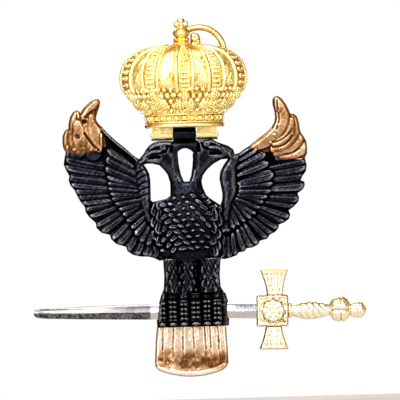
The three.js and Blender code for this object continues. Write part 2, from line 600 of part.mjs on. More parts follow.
const GUARD = { left: 17.95, right: 26.3, low: 12.9, top: 21.1, half: 2.3 };
const guardOutline = [
  [GUARD.left, GUARD.low + 0.2], [GUARD.right - 0.2, GUARD.low], [GUARD.right, GUARD.top - 0.3],
  [GUARD.left + 0.4, GUARD.top],
];
function softPlate(outline, half, edge) {
  const back = SWORD_Y + half;
  const front = SWORD_Y - half;
  return plateGeometry(outline, [[back, edge], [back - edge, 0], [front + edge, 0], [front, edge]]);
}
addMesh('guard_block', softPlate(guardOutline, GUARD.half, 0.35), 'hilt_gold');

const ARM_UPPER = [
  [20.9, 21.15], [24.8, 20.98], [25.1, 23.2], [25.6, 25.6], [26.35, 27.7], [19.35, 27.8], [20.1, 25.5], [20.7, 23.2],
];
const ARM_LOWER = [
  [20.4, 12.95], [19.9, 10.6], [19.3, 8.6], [18.5, 6.9], [26.0, 6.75], [25.3, 8.8], [24.7, 10.6], [24.4, 12.85],
];
const armUpperClear = ARM_UPPER.map(([x, z]) => [x, Math.max(z, 21.16)]);
const armLowerClear = ARM_LOWER.map(([x, z]) => [x, Math.min(z, 12.82)]);
addMesh('guard_arm_upper', softPlate(armUpperClear, 1.7, 0.3), 'hilt_gold');
addMesh('guard_arm_lower', softPlate(armLowerClear, 1.7, 0.3), 'hilt_gold');

function rosetteGeometry() {
  const outline = [];
  const petals = 48;
  for (let i = 0; i < petals; i += 1) {
    const angle = (2 * Math.PI * i) / petals;
    const reach = 2.75 + 0.25 * Math.cos(8 * angle);
    outline.push([22.3 + reach * Math.cos(angle), 17.0 + reach * Math.sin(angle)]);
  }
  const face = SWORD_Y - GUARD.half;
  return plateGeometry(outline, [[face - 0.02, 0], [face - 0.5, 0], [face - 0.95, 0.3]]);
}
addMesh('guard_rosette', rosetteGeometry(), 'hilt_gold');

const FLATTEN = 0.72;            // the hilt is shallower than it is tall
const collarX = [[26.34, 1.9], [26.55, 2.0], [27.1, 2.0], [27.3, 1.7]];
const gripX = [[27.34, 1.45], [28.2, 1.7], [29.6, 2.1], [31.5, 2.35], [33.5, 2.25], [35.5, 1.85], [37.2, 1.5]];
const pommelX = [[37.24, 1.6], [37.9, 2.4], [38.9, 3.1], [40.2, 3.35], [41.5, 3.05], [42.4, 2.3], [42.8, 1.7]];
const buttonX = [[42.84, 1.5], [43.4, 1.85], [44.4, 2.2], [45.5, 2.15], [46.5, 1.55], [47.1, 0.5]];
addMesh('guard_collar', turnedAlongX(collarX, SWORD_Y, swordZ, FLATTEN), 'hilt_gold');
addMesh('sword_grip', turnedAlongX(gripX, SWORD_Y, swordZ, 0.85), 'hilt_gold');
addMesh('pommel', turnedAlongX(pommelX, SWORD_Y, (x) => swordZ(x) + 0.25, FLATTEN), 'hilt_gold');
addMesh('pommel_button', turnedAlongX(buttonX, SWORD_Y, swordZ, 0.8), 'hilt_gold');

// ---- the hanging eye's centre becomes the origin -------------------------------------------------
row.position.set(-EYE.x, -EYE.y, -EYE.z);
const part = new THREE.Group();
part.add(row);
part.updateMatrixWorld(true);

export default part;
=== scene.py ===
"""Looks of the double-headed eagle jewel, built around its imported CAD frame.

Shapes are drawn in millimetres: x right, y to the back, z up, with x = 0 on the hinge pin's middle,
y = 0 on the eagle's flat back and z = 0 at the tail's lower edge. to_frame() moves them to the frame.
"""
import math

import bpy
import numpy as np
from mathutils import Matrix, Vector, geometry


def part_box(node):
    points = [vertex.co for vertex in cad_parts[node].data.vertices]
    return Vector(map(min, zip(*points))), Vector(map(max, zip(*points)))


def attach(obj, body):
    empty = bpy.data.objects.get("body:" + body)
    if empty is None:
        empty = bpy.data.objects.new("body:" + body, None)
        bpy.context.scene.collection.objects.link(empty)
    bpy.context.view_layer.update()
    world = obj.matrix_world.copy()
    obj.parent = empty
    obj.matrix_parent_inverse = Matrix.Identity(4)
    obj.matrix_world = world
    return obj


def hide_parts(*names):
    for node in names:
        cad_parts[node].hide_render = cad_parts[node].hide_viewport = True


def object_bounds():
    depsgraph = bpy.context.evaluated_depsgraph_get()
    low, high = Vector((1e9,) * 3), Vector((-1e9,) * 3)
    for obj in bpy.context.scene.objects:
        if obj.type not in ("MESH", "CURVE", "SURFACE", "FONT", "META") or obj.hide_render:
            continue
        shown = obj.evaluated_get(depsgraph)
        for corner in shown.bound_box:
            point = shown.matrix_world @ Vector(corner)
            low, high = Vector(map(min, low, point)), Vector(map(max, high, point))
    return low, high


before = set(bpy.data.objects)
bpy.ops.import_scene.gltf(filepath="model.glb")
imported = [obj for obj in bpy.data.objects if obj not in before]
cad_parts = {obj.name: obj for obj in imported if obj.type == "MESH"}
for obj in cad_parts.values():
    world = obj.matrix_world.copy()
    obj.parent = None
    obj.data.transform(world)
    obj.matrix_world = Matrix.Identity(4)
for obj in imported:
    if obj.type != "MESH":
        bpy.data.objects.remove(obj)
CAD_BOX = [[float(v) for v in corner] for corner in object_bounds()]

# ---- the drawing's origin, found from the frame ------------------------------------------------
pin_low, pin_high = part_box("hinge_pin")
ORIGIN = np.array([
    (pin_low[0] + pin_high[0]) / 2,
    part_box("eagle_body")[1][1],
    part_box("tail")[0][2],
])
MM = 0.001


def to_frame(points):
    """Drawing millimetres to frame metres."""
    return np.asarray(points, float) * MM + ORIGIN


def to_drawing(points):
    """Frame metres to drawing millimetres."""
    return (np.asarray(points, float) - ORIGIN) / MM


def node_box(node):
    """A node's lowest and highest corners at rest, in drawing millimetres."""
    return to_drawing(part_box(node))


def node_middle(node):
    low, high = node_box(node)
    return (low + high) / 2


# ---- camera --------------------------------------------------------------------------------------
VIEW_CENTRE = (3.66, -2.0, 47.0)
VIEW_WIDTH = 106.7           # millimetres across the frame at the jewel
CAMERA_DISTANCE = 1200.0
SENSOR_WIDTH = 36.0
ROLL = math.radians(1.6)     # the jewel leans this much to the left in the view


def add_object(name, data):
    item = bpy.data.objects.new(name, data)
    bpy.context.scene.collection.objects.link(item)
    return item


def make_camera():
    data = bpy.data.cameras.new("camera")
    camera = add_object("camera", data)
    data.sensor_width = SENSOR_WIDTH
    data.lens = SENSOR_WIDTH * CAMERA_DISTANCE / VIEW_WIDTH
    data.clip_start = 0.01
    data.clip_end = 10.0
    right = Vector((math.cos(ROLL), 0, -math.sin(ROLL)))
    up = Vector((math.sin(ROLL), 0, math.cos(ROLL)))
    back = Vector((0, -1, 0))
    place = Matrix((right, up, back)).transposed().to_4x4()
    place.translation = Vector(to_frame(VIEW_CENTRE)) + back * CAMERA_DISTANCE * MM
    camera.matrix_world = place
    bpy.context.scene.camera = camera


# ---- mesh helpers --------------------------------------------------------------------------------
EVEN_GROUND = 0.48           # the cavity of a surface that is neither a hollow nor a crest


def add_piece(name, points, faces, body, finish, node=None, cavity=EVEN_GROUND, sharp=None):
    """A closed mesh from drawing millimetres that rides on a body and stands for its CAD node.

    finish is the record's material slot, cavity one value or one for each point, and sharp the angle in
    degrees past which an edge is left hard.
    """
    mesh = bpy.data.meshes.new(name)
    mesh.from_pydata(to_frame(points).tolist(), [], [list(map(int, f)) for f in faces])
    mesh.update()
    mesh.polygons.foreach_set("use_smooth", [True] * len(mesh.polygons))
    layer = mesh.attributes.new("cavity", "FLOAT", "POINT")
    layer.data.foreach_set("value", np.full(len(mesh.vertices), cavity, np.float32))
    if sharp is not None:
        mesh.set_sharp_from_angle(angle=math.radians(sharp))
    mesh.materials.append(FINISHES[finish])
    piece = add_object(name, mesh)
    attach(piece, body)
    if node:
        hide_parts(node)


def add_loft(name, rings, *rest, **more):
    """As add_piece(), for a skin over closed rings."""
    points, faces = loft(rings)
    add_piece(name, points, faces, *rest, **more)


def spline(points, count):
    """Points evenly spread along a smooth curve through the given ones."""
    points = np.asarray(points, float)
    padded = np.vstack([2 * points[0] - points[1], points, 2 * points[-1] - points[-2]])
    out = []
    spans = len(points) - 1
    for t in np.linspace(0, spans, count):
        i = min(int(t), spans - 1)
        f = t - i
        a, b, c, d = padded[i:i + 4]
        out.append(0.5 * (2 * b + (c - a) * f + (2 * a - 5 * b + 4 * c - d) * f * f
                          + (3 * b - a - 3 * c + d) * f ** 3))
    return np.array(out)


def full_turn(steps):
    """Angles evenly spread round a circle."""
    return np.linspace(0, 2 * math.pi, steps, endpoint=False)


def loft(rings):
    """Points and faces of a skin over closed rings of equal length, capped at both ends."""
    rings = np.asarray(rings, float)
    count = rings.shape[1]
    points = rings.reshape(-1, 3)
    faces = []
    for s in range(len(rings) - 1):
        for i in range(count):
            a = s * count + i
            b = s * count + (i + 1) % count
            faces.append((a, b, b + count, a + count))
    last = (len(rings) - 1) * count
    faces.append(tuple(range(count))[::-1])
    faces.append(tuple(range(last, last + count)))
    return points, outward(points, faces)


def outward(points, faces):
    """Turn every face round if the closed mesh is inside out."""
    volume = 0.0
    for face in faces:
        a = points[face[0]]
        for i in range(1, len(face) - 1):
            volume += np.dot(a, np.cross(points[face[i]], points[face[i + 1]]))
    return faces if volume > 0 else [tuple(face)[::-1] for face in faces]


def frontward(points, faces):
    """As outward(), for a relief, whose front faces point towards -y."""
    a, b, c = (np.array(points[i]) for i in faces[0][:3])
    return [tuple(f)[::-1] for f in faces] if np.cross(b - a, c - a)[1] > 0 else faces


# ---- outlines ------------------------------------------------------------------------------------
def cad_outline(node, depth):
    """The closed loop of a plate node's corners at one depth, as drawing x and z."""
    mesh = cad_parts[node].data
    points = to_drawing([v.co for v in mesh.vertices])
    at_depth = np.abs(points[:, 1] + depth) < 0.01
    links = {}
    for edge in mesh.edges:
        a, b = edge.vertices
        if at_depth[a] and at_depth[b]:
            ka, kb = (tuple(np.round(points[i], 3)) for i in (a, b))
            if ka != kb:
                links.setdefault(ka, set()).add(kb)
                links.setdefault(kb, set()).add(ka)
    loop = [min(links)]
    before = None
    while True:
        here = loop[-1]
        following = [k for k in links[here] if k != before][0]
        if following == loop[0] and len(loop) > 2:
            break
        before = here
        loop.append(following)
    return np.array([(p[0], p[2]) for p in loop])


def block_outline(node):
    """The outline of stacked blocks on the eagle's back, from their left and right ends at each height."""
    ends = {}
    corners = to_drawing([v.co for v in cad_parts[node].data.vertices])
    for p in corners[np.abs(corners[:, 1]) < 0.01]:
        key = round(float(p[2]), 2)
        low, high = ends.get(key, (1e9, -1e9))
        ends[key] = (min(low, p[0]), max(high, p[0]))
    left, right = ([(ends[z][i], z) for z in sorted(ends)] for i in (0, 1))
    return np.array(right + left[::-1])


def following_corners(outline):
    return np.roll(outline, -1, axis=0)


def resample(outline, spacing):
    """Split a closed outline's sides so none is much longer than the spacing."""
    out = []
    for a, b in zip(outline, following_corners(outline)):
        steps = max(1, int(round(np.linalg.norm(b - a) / spacing)))
        for k in range(steps):
            out.append(a + (b - a) * k / steps)
    return np.array(out)


def smooth_outline(outline, rounds):
    """Soften an outline's corners by cutting them."""
    for _ in range(rounds):
        after = following_corners(outline)
        cut = np.empty((2 * len(outline), 2))
        cut[0::2] = outline * 0.8 + after * 0.2
        cut[1::2] = outline * 0.2 + after * 0.8
        outline = cut
    return outline


def swell(outline, amount):
    """Move a closed outline outwards by a little."""
    before, after = np.roll(outline, 1, axis=0), following_corners(outline)
    along = after - before
    normal = np.column_stack([along[:, 1], -along[:, 0]])
    normal /= np.linalg.norm(normal, axis=1, keepdims=True) + 1e-9
    turn = np.sum(outline[:, 0] * after[:, 1] - after[:, 0] * outline[:, 1])
    return outline + normal * amount * (1 if turn > 0 else -1)


def inside(outline, x, z):
    """Which points lie inside a closed outline."""
    hit = np.zeros(len(x), bool)
    for (x1, z1), (x2, z2) in zip(outline, following_corners(outline)):
        if z1 == z2:
            continue
        crosses = (z1 > z) != (z2 > z)
        hit ^= crosses & (x < (x2 - x1) * (z - z1) / (z2 - z1) + x1)
    return hit


def edge_distance(starts, ends, x, z):
    """Distance from each point to the nearest of the given segments."""
    best = np.full(len(x), 1e9)
    for (x1, z1), (x2, z2) in zip(starts, ends):
        dx, dz = x2 - x1, z2 - z1
        size = dx * dx + dz * dz + 1e-12
        t = np.clip(((x - x1) * dx + (z - z1) * dz) / size, 0, 1)
        best = np.minimum(best, np.hypot(x - x1 - t * dx, z - z1 - t * dz))
    return best


SHARED_SIDE = 0.3            # a side this near to a neighbour's outline is shared with it


def free_sides(outline, neighbours):
    """The outline's sides that no neighbour's outline runs along."""
    after = following_corners(outline)
    middle = (outline + after) / 2
    free = np.ones(len(outline), bool)
    for other in neighbours:
        free &= edge_distance(other, following_corners(other), middle[:, 0], middle[:, 1]) > SHARED_SIDE
    return outline[free], after[free]


# ---- hollows and crests --------------------------------------------------------------------------
def relax(values, links, rounds):
    """Average each point's value with its neighbours', several times."""
    a, b = links
    count = np.bincount(np.concatenate([a, b]), minlength=len(values))
    for _ in range(rounds):
        total = np.bincount(a, values[b], len(values)) + np.bincount(b, values[a], len(values))
        values = total / np.maximum(count, 1)
    return values


def links_of(faces):
    """Each pair of points that share an edge, once."""
    sides = {tuple(sorted(pair)) for f in faces for pair in zip(f, f[1:] + f[:1])}
    return np.array(sorted(sides)).T


def cavity_of(values, faces, rounds, scale):
    """0.5 on even ground, towards 1 in hollows and 0 on crests."""
    return np.clip(0.5 + (relax(values, links_of(faces), rounds) - values) / scale, 0, 1)


# ---- reliefs -------------------------------------------------------------------------------------
ROW_STEP = 0.866             # rows of even triangles are this much closer than their points
SEAM_OVERLAP = 0.06          # a piece reaches this far under its neighbour's edge
EDGE_SHADE, EDGE_SHADE_WIDTH = 0.92, 0.32   # painted shade along a free edge: the cavity set there, and how far in it fades
NO_EDGE = 9.0                # the reach all over a piece with no free edge


def relief(name, outline, paint, body, finish, node, spacing, rim, roll, neighbours=(), back=0.0):
    """A flat-backed cast piece: its front stands paint(x, z, reach) millimetres off the back plane.

    reach is the distance to the nearest free edge, where the front rolls down to the rim's height and the
    cavity rises to paint shade along the edge. An edge is free where it runs along none of the neighbours'
    outlines. back is the back plane's y.
    """
    outline = swell(resample(outline, spacing), SEAM_OVERLAP if len(neighbours) else 0.0)
    low, high = outline.min(0), outline.max(0)
    row_gap = spacing * ROW_STEP
    rows = int((high[1] - low[1]) / row_gap) + 1
    columns = int((high[0] - low[0]) / spacing) + 1
    grid_x, grid_z = np.meshgrid(np.arange(columns) * spacing, np.arange(rows) * row_gap)
    grid_x = grid_x + (np.arange(rows) % 2)[:, None] * spacing / 2
    x, z = grid_x.ravel() + low[0], grid_z.ravel() + low[1]
    keep = inside(outline, x, z)
    x, z = x[keep], z[keep]
    clear = edge_distance(outline, following_corners(outline), x, z) > spacing * 0.55
    flat = np.vstack([outline, np.column_stack([x[clear], z[clear]])])
    count = len(outline)
    sides = [(i, (i + 1) % count) for i in range(count)]
    cdt = geometry.delaunay_2d_cdt([Vector(p) for p in flat], sides, [], 1, 1e-6)
    points2, triangles = np.array([tuple(v) for v in cdt[0]]), [tuple(f) for f in cdt[2]]
    starts, ends = free_sides(outline, neighbours)
    reach = np.full(len(points2), NO_EDGE)
    if len(starts):
        reach = edge_distance(starts, ends, points2[:, 0], points2[:, 1])
    height = paint(points2[:, 0], points2[:, 1], reach)
    height = 0.45 * height + 0.55 * relax(height, links_of(triangles), 1)
    if len(starts):
        part = np.clip(reach / roll, 0, 1)
        height = rim + (height - rim) * np.sqrt(1 - (1 - part) ** 2)
    cavity = cavity_of(height, triangles, 9, 0.7)
    if len(starts):
        # painted shade: the cavity rises near each free edge, so the edge is drawn dark
        cavity += (EDGE_SHADE - cavity) * np.clip(1 - reach / EDGE_SHADE_WIDTH, 0, 1)
    ways = [pair for f in triangles for pair in zip(f, f[1:] + f[:1])]
    known = set(ways)
    following = {a: b for a, b in ways if (b, a) not in known}
    loop = [next(iter(following))]
    while following[loop[-1]] != loop[0]:
        loop.append(following[loop[-1]])
    base = len(points2)
    front = np.column_stack([points2[:, 0], back - height, points2[:, 1]])
    behind = np.column_stack([points2[loop, 0], np.full(len(loop), back), points2[loop, 1]])
    points = np.vstack([front, behind])
    faces = list(triangles)
    for i, a in enumerate(loop):
        j = (i + 1) % len(loop)
        faces.append((loop[j], a, base + i, base + j))
    faces.append(tuple(base + i for i in range(len(loop))))
    cavity = np.concatenate([cavity, np.full(len(loop), 0.5)])
    add_piece(name, points, frontward(points, faces), body, finish, node, cavity)


class Canvas:
    """Heights at scattered points of a relief, built up stroke by stroke."""

    def __init__(self, x, z, start):
        self.x, self.z = x, z
        self.h = np.full(len(x), float(start))

    def near(self, low, high, margin):
        return np.flatnonzero(
            (self.x > low[0] - margin) & (self.x < high[0] + margin)
            & (self.z > low[1] - margin) & (self.z < high[1] + margin))

    def along(self, path, halves):
        """Points near a path: their index, place along it (0 to 1), offset and half width there."""
        line = np.linspace(path[0], path[-1], 9)
        if len(path) > 2:
            line = spline(path, 4 * len(path) + 5)
        widths = np.interp(np.linspace(0, 1, len(line)), np.linspace(0, 1, len(halves)), halves)
        pick = self.near(line.min(0), line.max(0), max(halves))
        x, z = self.x[pick], self.z[pick]
        best = np.full(len(pick), 1e9)
        place = np.zeros(len(pick))
        offset = np.zeros(len(pick))
        for k, (a, b) in enumerate(zip(line[:-1], line[1:])):
            d = b - a
            t = np.clip(((x - a[0]) * d[0] + (z - a[1]) * d[1]) / float(d @ d), 0, 1)
            ox, oz = x - a[0] - t * d[0], z - a[1] - t * d[1]
            gap = np.hypot(ox, oz)
            closer = gap < best
            best = np.where(closer, gap, best)
            place = np.where(closer, (k + t) / (len(line) - 1), place)
            offset = np.where(closer, gap * np.sign(d[0] * oz - d[1] * ox), offset)
        half = np.interp(place, np.linspace(0, 1, len(widths)), widths)
        return pick, place, offset, half

    def raise_to(self, pick, height, mask):
        chosen = pick[mask]
        self.h[chosen] = np.maximum(self.h[chosen], height[mask])

    def feather(self, path, half, levels, dome, shaft, tilt, blunt, ridges=2):
        """A feather from root to tip: domed, with a shaft, lengthwise ridges and a round tip."""
        pick, place, offset, wide = self.along(path, [half * 0.7, half, half])
        over = np.clip((place - (1 - blunt)) / blunt, 0, 1)
        wide = wide * np.sqrt(np.maximum(1 - over ** 2, 0.0)) + 1e-6
        across = offset / wide
        body = np.sqrt(np.clip(1 - across ** 2, 0, 1))
        level = np.interp(place, np.linspace(0, 1, len(levels)), levels)
        grain = 0.11 * np.cos(across * math.pi * (ridges + 0.5) * 2 + 1.5 * place) * body
        height = level + dome * body + tilt * across + grain + shaft * np.exp(-(offset / 0.16) ** 2) * body
        self.raise_to(pick, height, np.abs(across) < 1)

    def bar(self, path, halves, levels, dome=1.0, power=0.5):
        """A smooth rounded bar along a path."""
        pick, place, offset, wide = self.along(path, halves)
        across = offset / wide
        level = np.interp(place, np.linspace(0, 1, len(levels)), levels)
        height = level + dome * np.clip(1 - across ** 2, 0, 1) ** power
        self.raise_to(pick, height, np.abs(across) < 1)

    def groove(self, path, half, depth):
        pick, _, offset, wide = self.along(path, [half * 1.6, half * 1.6])
        cut = depth * np.exp(-(offset / half) ** 2 * 1.5)
        self.h[pick] -= cut * (np.abs(offset) < wide)

    def mound(self, centre, radii, level, rise, turn=0.0, power=0.5, lean=0.0):
        """An oval dome standing on a level, leaning across its length."""
        pick = self.near(centre, centre, max(radii))
        c, s = math.cos(turn), math.sin(turn)
        dx, dz = self.x[pick] - centre[0], self.z[pick] - centre[1]
        u, v = (dx * c + dz * s) / radii[0], (dz * c - dx * s) / radii[1]
        r2 = u * u + v * v
        height = level + rise * np.clip(1 - r2, 0, 1) ** power + lean * v
        self.raise_to(pick, height, r2 < 1)

    def dent(self, centre, radius, depth):
        pick = self.near(centre, centre, radius * 2)
        gap = np.hypot(self.x[pick] - centre[0], self.z[pick] - centre[1])
        self.h[pick] -= depth * np.exp(-(gap / radius) ** 2)


def wobble(x, z, scale, seed):
    """Smooth repeatable unevenness between -1 and 1."""
    a = np.sin(x / scale * 2.1 + seed) * np.cos(z / scale * 1.7 - seed * 1.3)
    b = np.sin(x / scale * 4.3 - z / scale * 3.1 + seed * 2.7)
    c = np.cos(z / scale * 5.9 + x / scale * 1.9 + seed * 0.7)
    return (a + 0.6 * b + 0.4 * c) / 2


# ---- materials -----------------------------------------------------------------------------------
def fill_ramp(node, stops):
    """Give a colour ramp its stops, each a place and a colour."""
    elements = node.color_ramp.elements
    while len(elements) < len(stops):
        elements.new(0.5)
    for element, (place, colour) in zip(elements, stops):
        element.position = place
        element.color = (*colour, 1)


class Nodes:
    """Short names for building a node material."""

    def __init__(self, name):
        self.material = bpy.data.materials.new(name)
        self.material.use_nodes = True
        self.tree = self.material.node_tree
        self.shader = self.tree.nodes["Principled BSDF"]
        self.where = self.add("ShaderNodeTexCoord").outputs["Object"]

    def add(self, kind, settings=None, **inputs):
        node = self.tree.nodes.new(kind)
        for key, value in (settings or {}).items():
            setattr(node, key, value)
        for key, value in inputs.items():
            self.feed(node.inputs[key.replace("_", " ")], value)
        return node

    def feed(self, socket, value):
        """Link an output to a socket, or set the socket's own number or colour."""
        if hasattr(value, "links"):
            self.tree.links.new(value, socket)
        elif socket.type == "RGBA":
            socket.default_value = (*value, 1)
        else:
            socket.default_value = value

    def noise(self, scale, detail=4.0, rough=0.6, stretch=(1, 1, 1)):
        node = self.add("ShaderNodeTexNoise", Scale=scale, Detail=detail, Roughness=rough)
        place = self.add("ShaderNodeMapping", Scale=stretch, Vector=self.where)
        self.feed(node.inputs["Vector"], place.outputs["Vector"])
        return node.outputs["Fac"]

    def cavity(self):
        return self.add("ShaderNodeAttribute", {"attribute_name": "cavity"}).outputs["Fac"]

    def ramp(self, source, stops):
        node = self.add("ShaderNodeValToRGB", Fac=source)
        fill_ramp(node, stops)
        return node.outputs["Color"]

    def grade(self, source, low, high, out_low, out_high):
        node = self.add("ShaderNodeMapRange", From_Min=low, From_Max=high, To_Min=out_low, To_Max=out_high,
                        Value=source)
        return node.outputs["Result"]

    def maths(self, operation, a, b):
        node = self.add("ShaderNodeMath", {"operation": operation})
        for socket, value in zip(node.inputs, (a, b)):
            self.feed(socket, value)
        return node.outputs["Value"]

    def vary(self, base, source, amount):
        """base plus a noise's swing about its middle."""
        return self.maths("ADD", base, self.maths("MULTIPLY", self.maths("SUBTRACT", source, 0.5), amount))

    def mix(self, factor, a, b):
        node = self.add("ShaderNodeMix", {"data_type": "RGBA"})
        for index, value in ((0, factor), (6, a), (7, b)):
            self.feed(node.inputs[index], value)
        return node.outputs[2]

    def bump(self, source, strength, distance):
        node = self.add("ShaderNodeBump", Strength=strength, Distance=distance, Height=source)
        self.feed(self.shader.inputs["Normal"], node.outputs["Normal"])

    def drawing(self, axis):
        """The drawing's X, Y or Z in millimetres."""
        split = self.add("ShaderNodeSeparateXYZ", Vector=self.where)
        shifted = self.maths("SUBTRACT", split.outputs[axis], float(ORIGIN["XYZ".index(axis)]))
        return self.maths("MULTIPLY", shifted, 1 / MM)

    def metal(self, tone, tint, rough):
        """Bare metal of this colour, with its tint at grazing angles and its roughness."""
        for name, value in (("Base Color", tone), ("Metallic", 1.0), ("Specular Tint", tint),
                            ("Roughness", rough)):
            self.feed(self.shader.inputs[name], value)
        return self.material


def black_finish():
    """Blackened metal: painted shade turns its hollows deep black, and a painted highlight turns its crests
    grey.
    """
    n = Nodes("black_finish")
    wear = n.noise(900, 5, 0.65)
    blotch = n.noise(160, 3, 0.5)
    depth = n.vary(n.vary(n.cavity(), wear, 0.35), blotch, 0.25)
    # the cavity picks the tone: grey on the crests is painted highlight, near black in the hollows is
    # painted shade
    tone = n.ramp(depth, [
        (0.10, (0.20, 0.207, 0.235)), (0.27, (0.062, 0.066, 0.082)), (0.46, (0.011, 0.012, 0.017)),
        (0.62, (0.0015, 0.0015, 0.0025))])
    n.bump(n.noise(1500, 4, 0.6), 0.25, 0.00006)
    return n.metal(tone, (0.35, 0.36, 0.40), n.grade(wear, 0.3, 0.7, 0.17, 0.34))


def plated_gold(name, bright, warm, dark, edge, rough, bump=0.2, mottle=0.62):
    """Gold plate, bright on its crests and warmer and darker in its hollows, both from antiquing and as
    painted shade and painted warm reflection, unevenly so by its mottle.
    """
    n = Nodes(name)
    fine = n.noise(1400, 4, 0.6)
    depth = n.vary(n.cavity(), n.noise(430, 5, 0.62), mottle)
    # warm and dark in the hollows: partly antiquing, partly painted shade and painted warm reflection
    tone = n.ramp(depth, [(0.0, bright), (0.47, bright), (0.60, warm), (0.80, dark)])
    n.bump(fine, bump, 0.00006)
    return n.metal(tone, edge, n.grade(fine, 0.3, 0.7, rough * 0.7, rough * 1.5))


def copper_gold():
    """Rose gold with a painted cream highlight on its crests, and a brown patina in hollows and low on the
    tail.
    """
    n = Nodes("copper_gold")
    blotch = n.noise(150, 5, 0.62)
    z = n.drawing("Z")
    low = n.maths("MULTIPLY", n.grade(z, 8.5, 5.0, 0.0, 1.0), n.grade(z, 1.2, 2.4, 0.1, 1.0))
    wings = n.grade(z, 50.0, 57.0, 0.0, 0.48)
    top_of_tail = n.grade(z, 13.6, 9.0, 0.22, 0.08)
    patina_and_shade = n.maths("MULTIPLY", low, n.grade(blotch, 0.38, 0.62, 0.06, 0.92))
    wing_stain = n.maths("MULTIPLY", wings, n.grade(blotch, 0.35, 0.65, 0.45, 1.35))
    place = n.maths("ADD", n.maths("MAXIMUM", patina_and_shade, wing_stain), top_of_tail)
    # crests go towards cream as a painted highlight, hollows towards the brown patina
    depth = n.maths("ADD", place, n.grade(n.cavity(), 0.30, 0.85, -0.24, 0.72))
    tone = n.ramp(depth, [
        (0.0, (1.0, 0.86, 0.70)), (0.28, (0.85, 0.61, 0.42)), (0.55, (0.50, 0.27, 0.13)),
        (0.95, (0.13, 0.05, 0.015))])
    n.bump(n.noise(1300, 4, 0.6), 0.25, 0.00008)
    return n.metal(tone, (0.75, 0.5, 0.3), n.grade(depth, 0.0, 1.0, 0.24, 0.46))


def blade_steel():
    """Polished steel with each bevel painted as what it reflects: dark and mottled painted shade below the
    ridge left of the talons, and a bright cool painted reflection above it right of them.
    """
    n = Nodes("blade_steel")
    brushed = n.noise(500, 3, 0.6, (0.25, 1, 1))
    mottle = n.noise(1100, 5, 0.7)
    x = n.drawing("X")
    ridge = n.maths("ADD", n.maths("MULTIPLY", x, -0.0125), 17.42)
    below = n.grade(n.maths("SUBTRACT", n.drawing("Z"), ridge), -0.12, 0.05, 1.0, 0.0)
    left = n.grade(x, -10.6, -10.2, 1.0, 0.0)
    pale = n.ramp(mottle, [(0.3, (0.265, 0.255, 0.26)), (0.65, (0.30, 0.29, 0.295))])
    dark_bevel_shade = n.ramp(mottle, [(0.42, (0.035, 0.035, 0.035)), (0.66, (0.27, 0.27, 0.265))])
    cool_bevel_reflection = n.ramp(mottle, [(0.35, (0.46, 0.47, 0.50)), (0.6, (0.72, 0.74, 0.80))])
    # painted reflection and shade: one tone for each bevel on each side of the talons
    tone = n.mix(left, n.mix(below, cool_bevel_reflection, (0.62, 0.60, 0.57)), n.mix(below, pale, dark_bevel_shade))
    n.bump(mottle, 0.12, 0.00006)
    return n.metal(tone, (0.6, 0.6, 0.62), n.grade(brushed, 0.3, 0.7, 0.12, 0.28))


# one for each material slot of the record that a piece uses, and satin gold for two CAD nodes
FINISHES = {
    "black_finish": black_finish(),
    "crown_gold": plated_gold("crown_gold", (1.0, 0.85, 0.41), (0.92, 0.63, 0.16), (0.27, 0.15, 0.03),
                              (0.85, 0.45, 0.10), 0.3),
    "hilt_gold": plated_gold("hilt_gold", (1.0, 0.92, 0.70), (0.93, 0.76, 0.44), (0.58, 0.43, 0.22),
                             (0.70, 0.50, 0.22), 0.26, bump=0.08, mottle=0.2),
    "satin_gold": plated_gold("satin_gold", (1.0, 0.80, 0.40), (0.9, 0.6, 0.2), (0.5, 0.3, 0.1),
                              (0.85, 0.5, 0.2), 0.42, bump=0.08, mottle=0.3),
    "copper_gold": copper_gold(),
    "blade_steel": blade_steel(),
}


# ---- eagle: what is painted on each part ---------------------------------------------------------
# (tip, root, width) of each feather, top to bottom
FLIGHT_LEFT = [
    ((-31.9, 59.0), (-21.0, 56.6), 2.6), ((-32.1, 57.1), (-20.9, 54.8), 2.3),
    ((-31.5, 54.2), (-20.8, 52.7), 2.4), ((-30.9, 52.3), (-20.5, 51.1), 1.8),
    ((-29.8, 50.4), (-20.3, 50.0), 1.8), ((-28.9, 48.8), (-20.0, 48.8), 1.7),
    ((-28.0, 47.3), (-19.5, 47.9), 1.7), ((-27.1, 45.4), (-19.0, 46.9), 1.7),
    ((-26.0, 43.6), (-18.3, 46.0), 1.8), ((-24.4, 41.1), (-17.5, 44.8), 2.0),
    ((-22.8, 39.3), (-16.6, 43.5), 2.0), ((-20.5, 37.4), (-15.5, 42.0), 2.1),
    ((-18.4, 36.0), (-14.5, 40.2), 2.1), ((-16.2, 34.2), (-13.4, 38.4), 2.1),
    ((-13.9, 32.9), (-12.0, 37.0), 2.1), ((-11.2, 32.5), (-10.2, 36.2), 2.2),
    ((-8.7, 32.1), (-8.6, 35.5), 2.0),
]
COVERT_LEFT = [
    ((-20.8, 61.2), (-14.0, 56.8), 1.7), ((-21.2, 58.9), (-13.8, 54.8), 2.2),
    ((-21.4, 56.4), (-13.5, 53.0), 2.0), ((-21.0, 54.1), (-13.4, 51.8), 1.6),
    ((-20.9, 52.3), (-13.2, 50.9), 1.5), ((-20.7, 50.8), (-13.0, 50.0), 1.4),
    ((-20.3, 49.4), (-12.8, 49.2), 1.4), ((-19.9, 48.0), (-12.6, 48.4), 1.4),
    ((-19.1, 46.7), (-12.3, 47.7), 1.4), ((-18.1, 45.2), (-12.0, 46.9), 1.5),
    ((-17.1, 43.6), (-11.7, 46.0), 1.6), ((-16.1, 41.9), (-11.4, 45.0), 1.6),
    ((-15.0, 40.1), (-11.0, 43.6), 1.6), ((-13.9, 38.1), (-10.6, 42.0), 1.7),
    ((-12.6, 36.4), (-10.2, 40.2), 1.7), ((-10.8, 35.4), (-9.6, 38.8), 1.7),
]
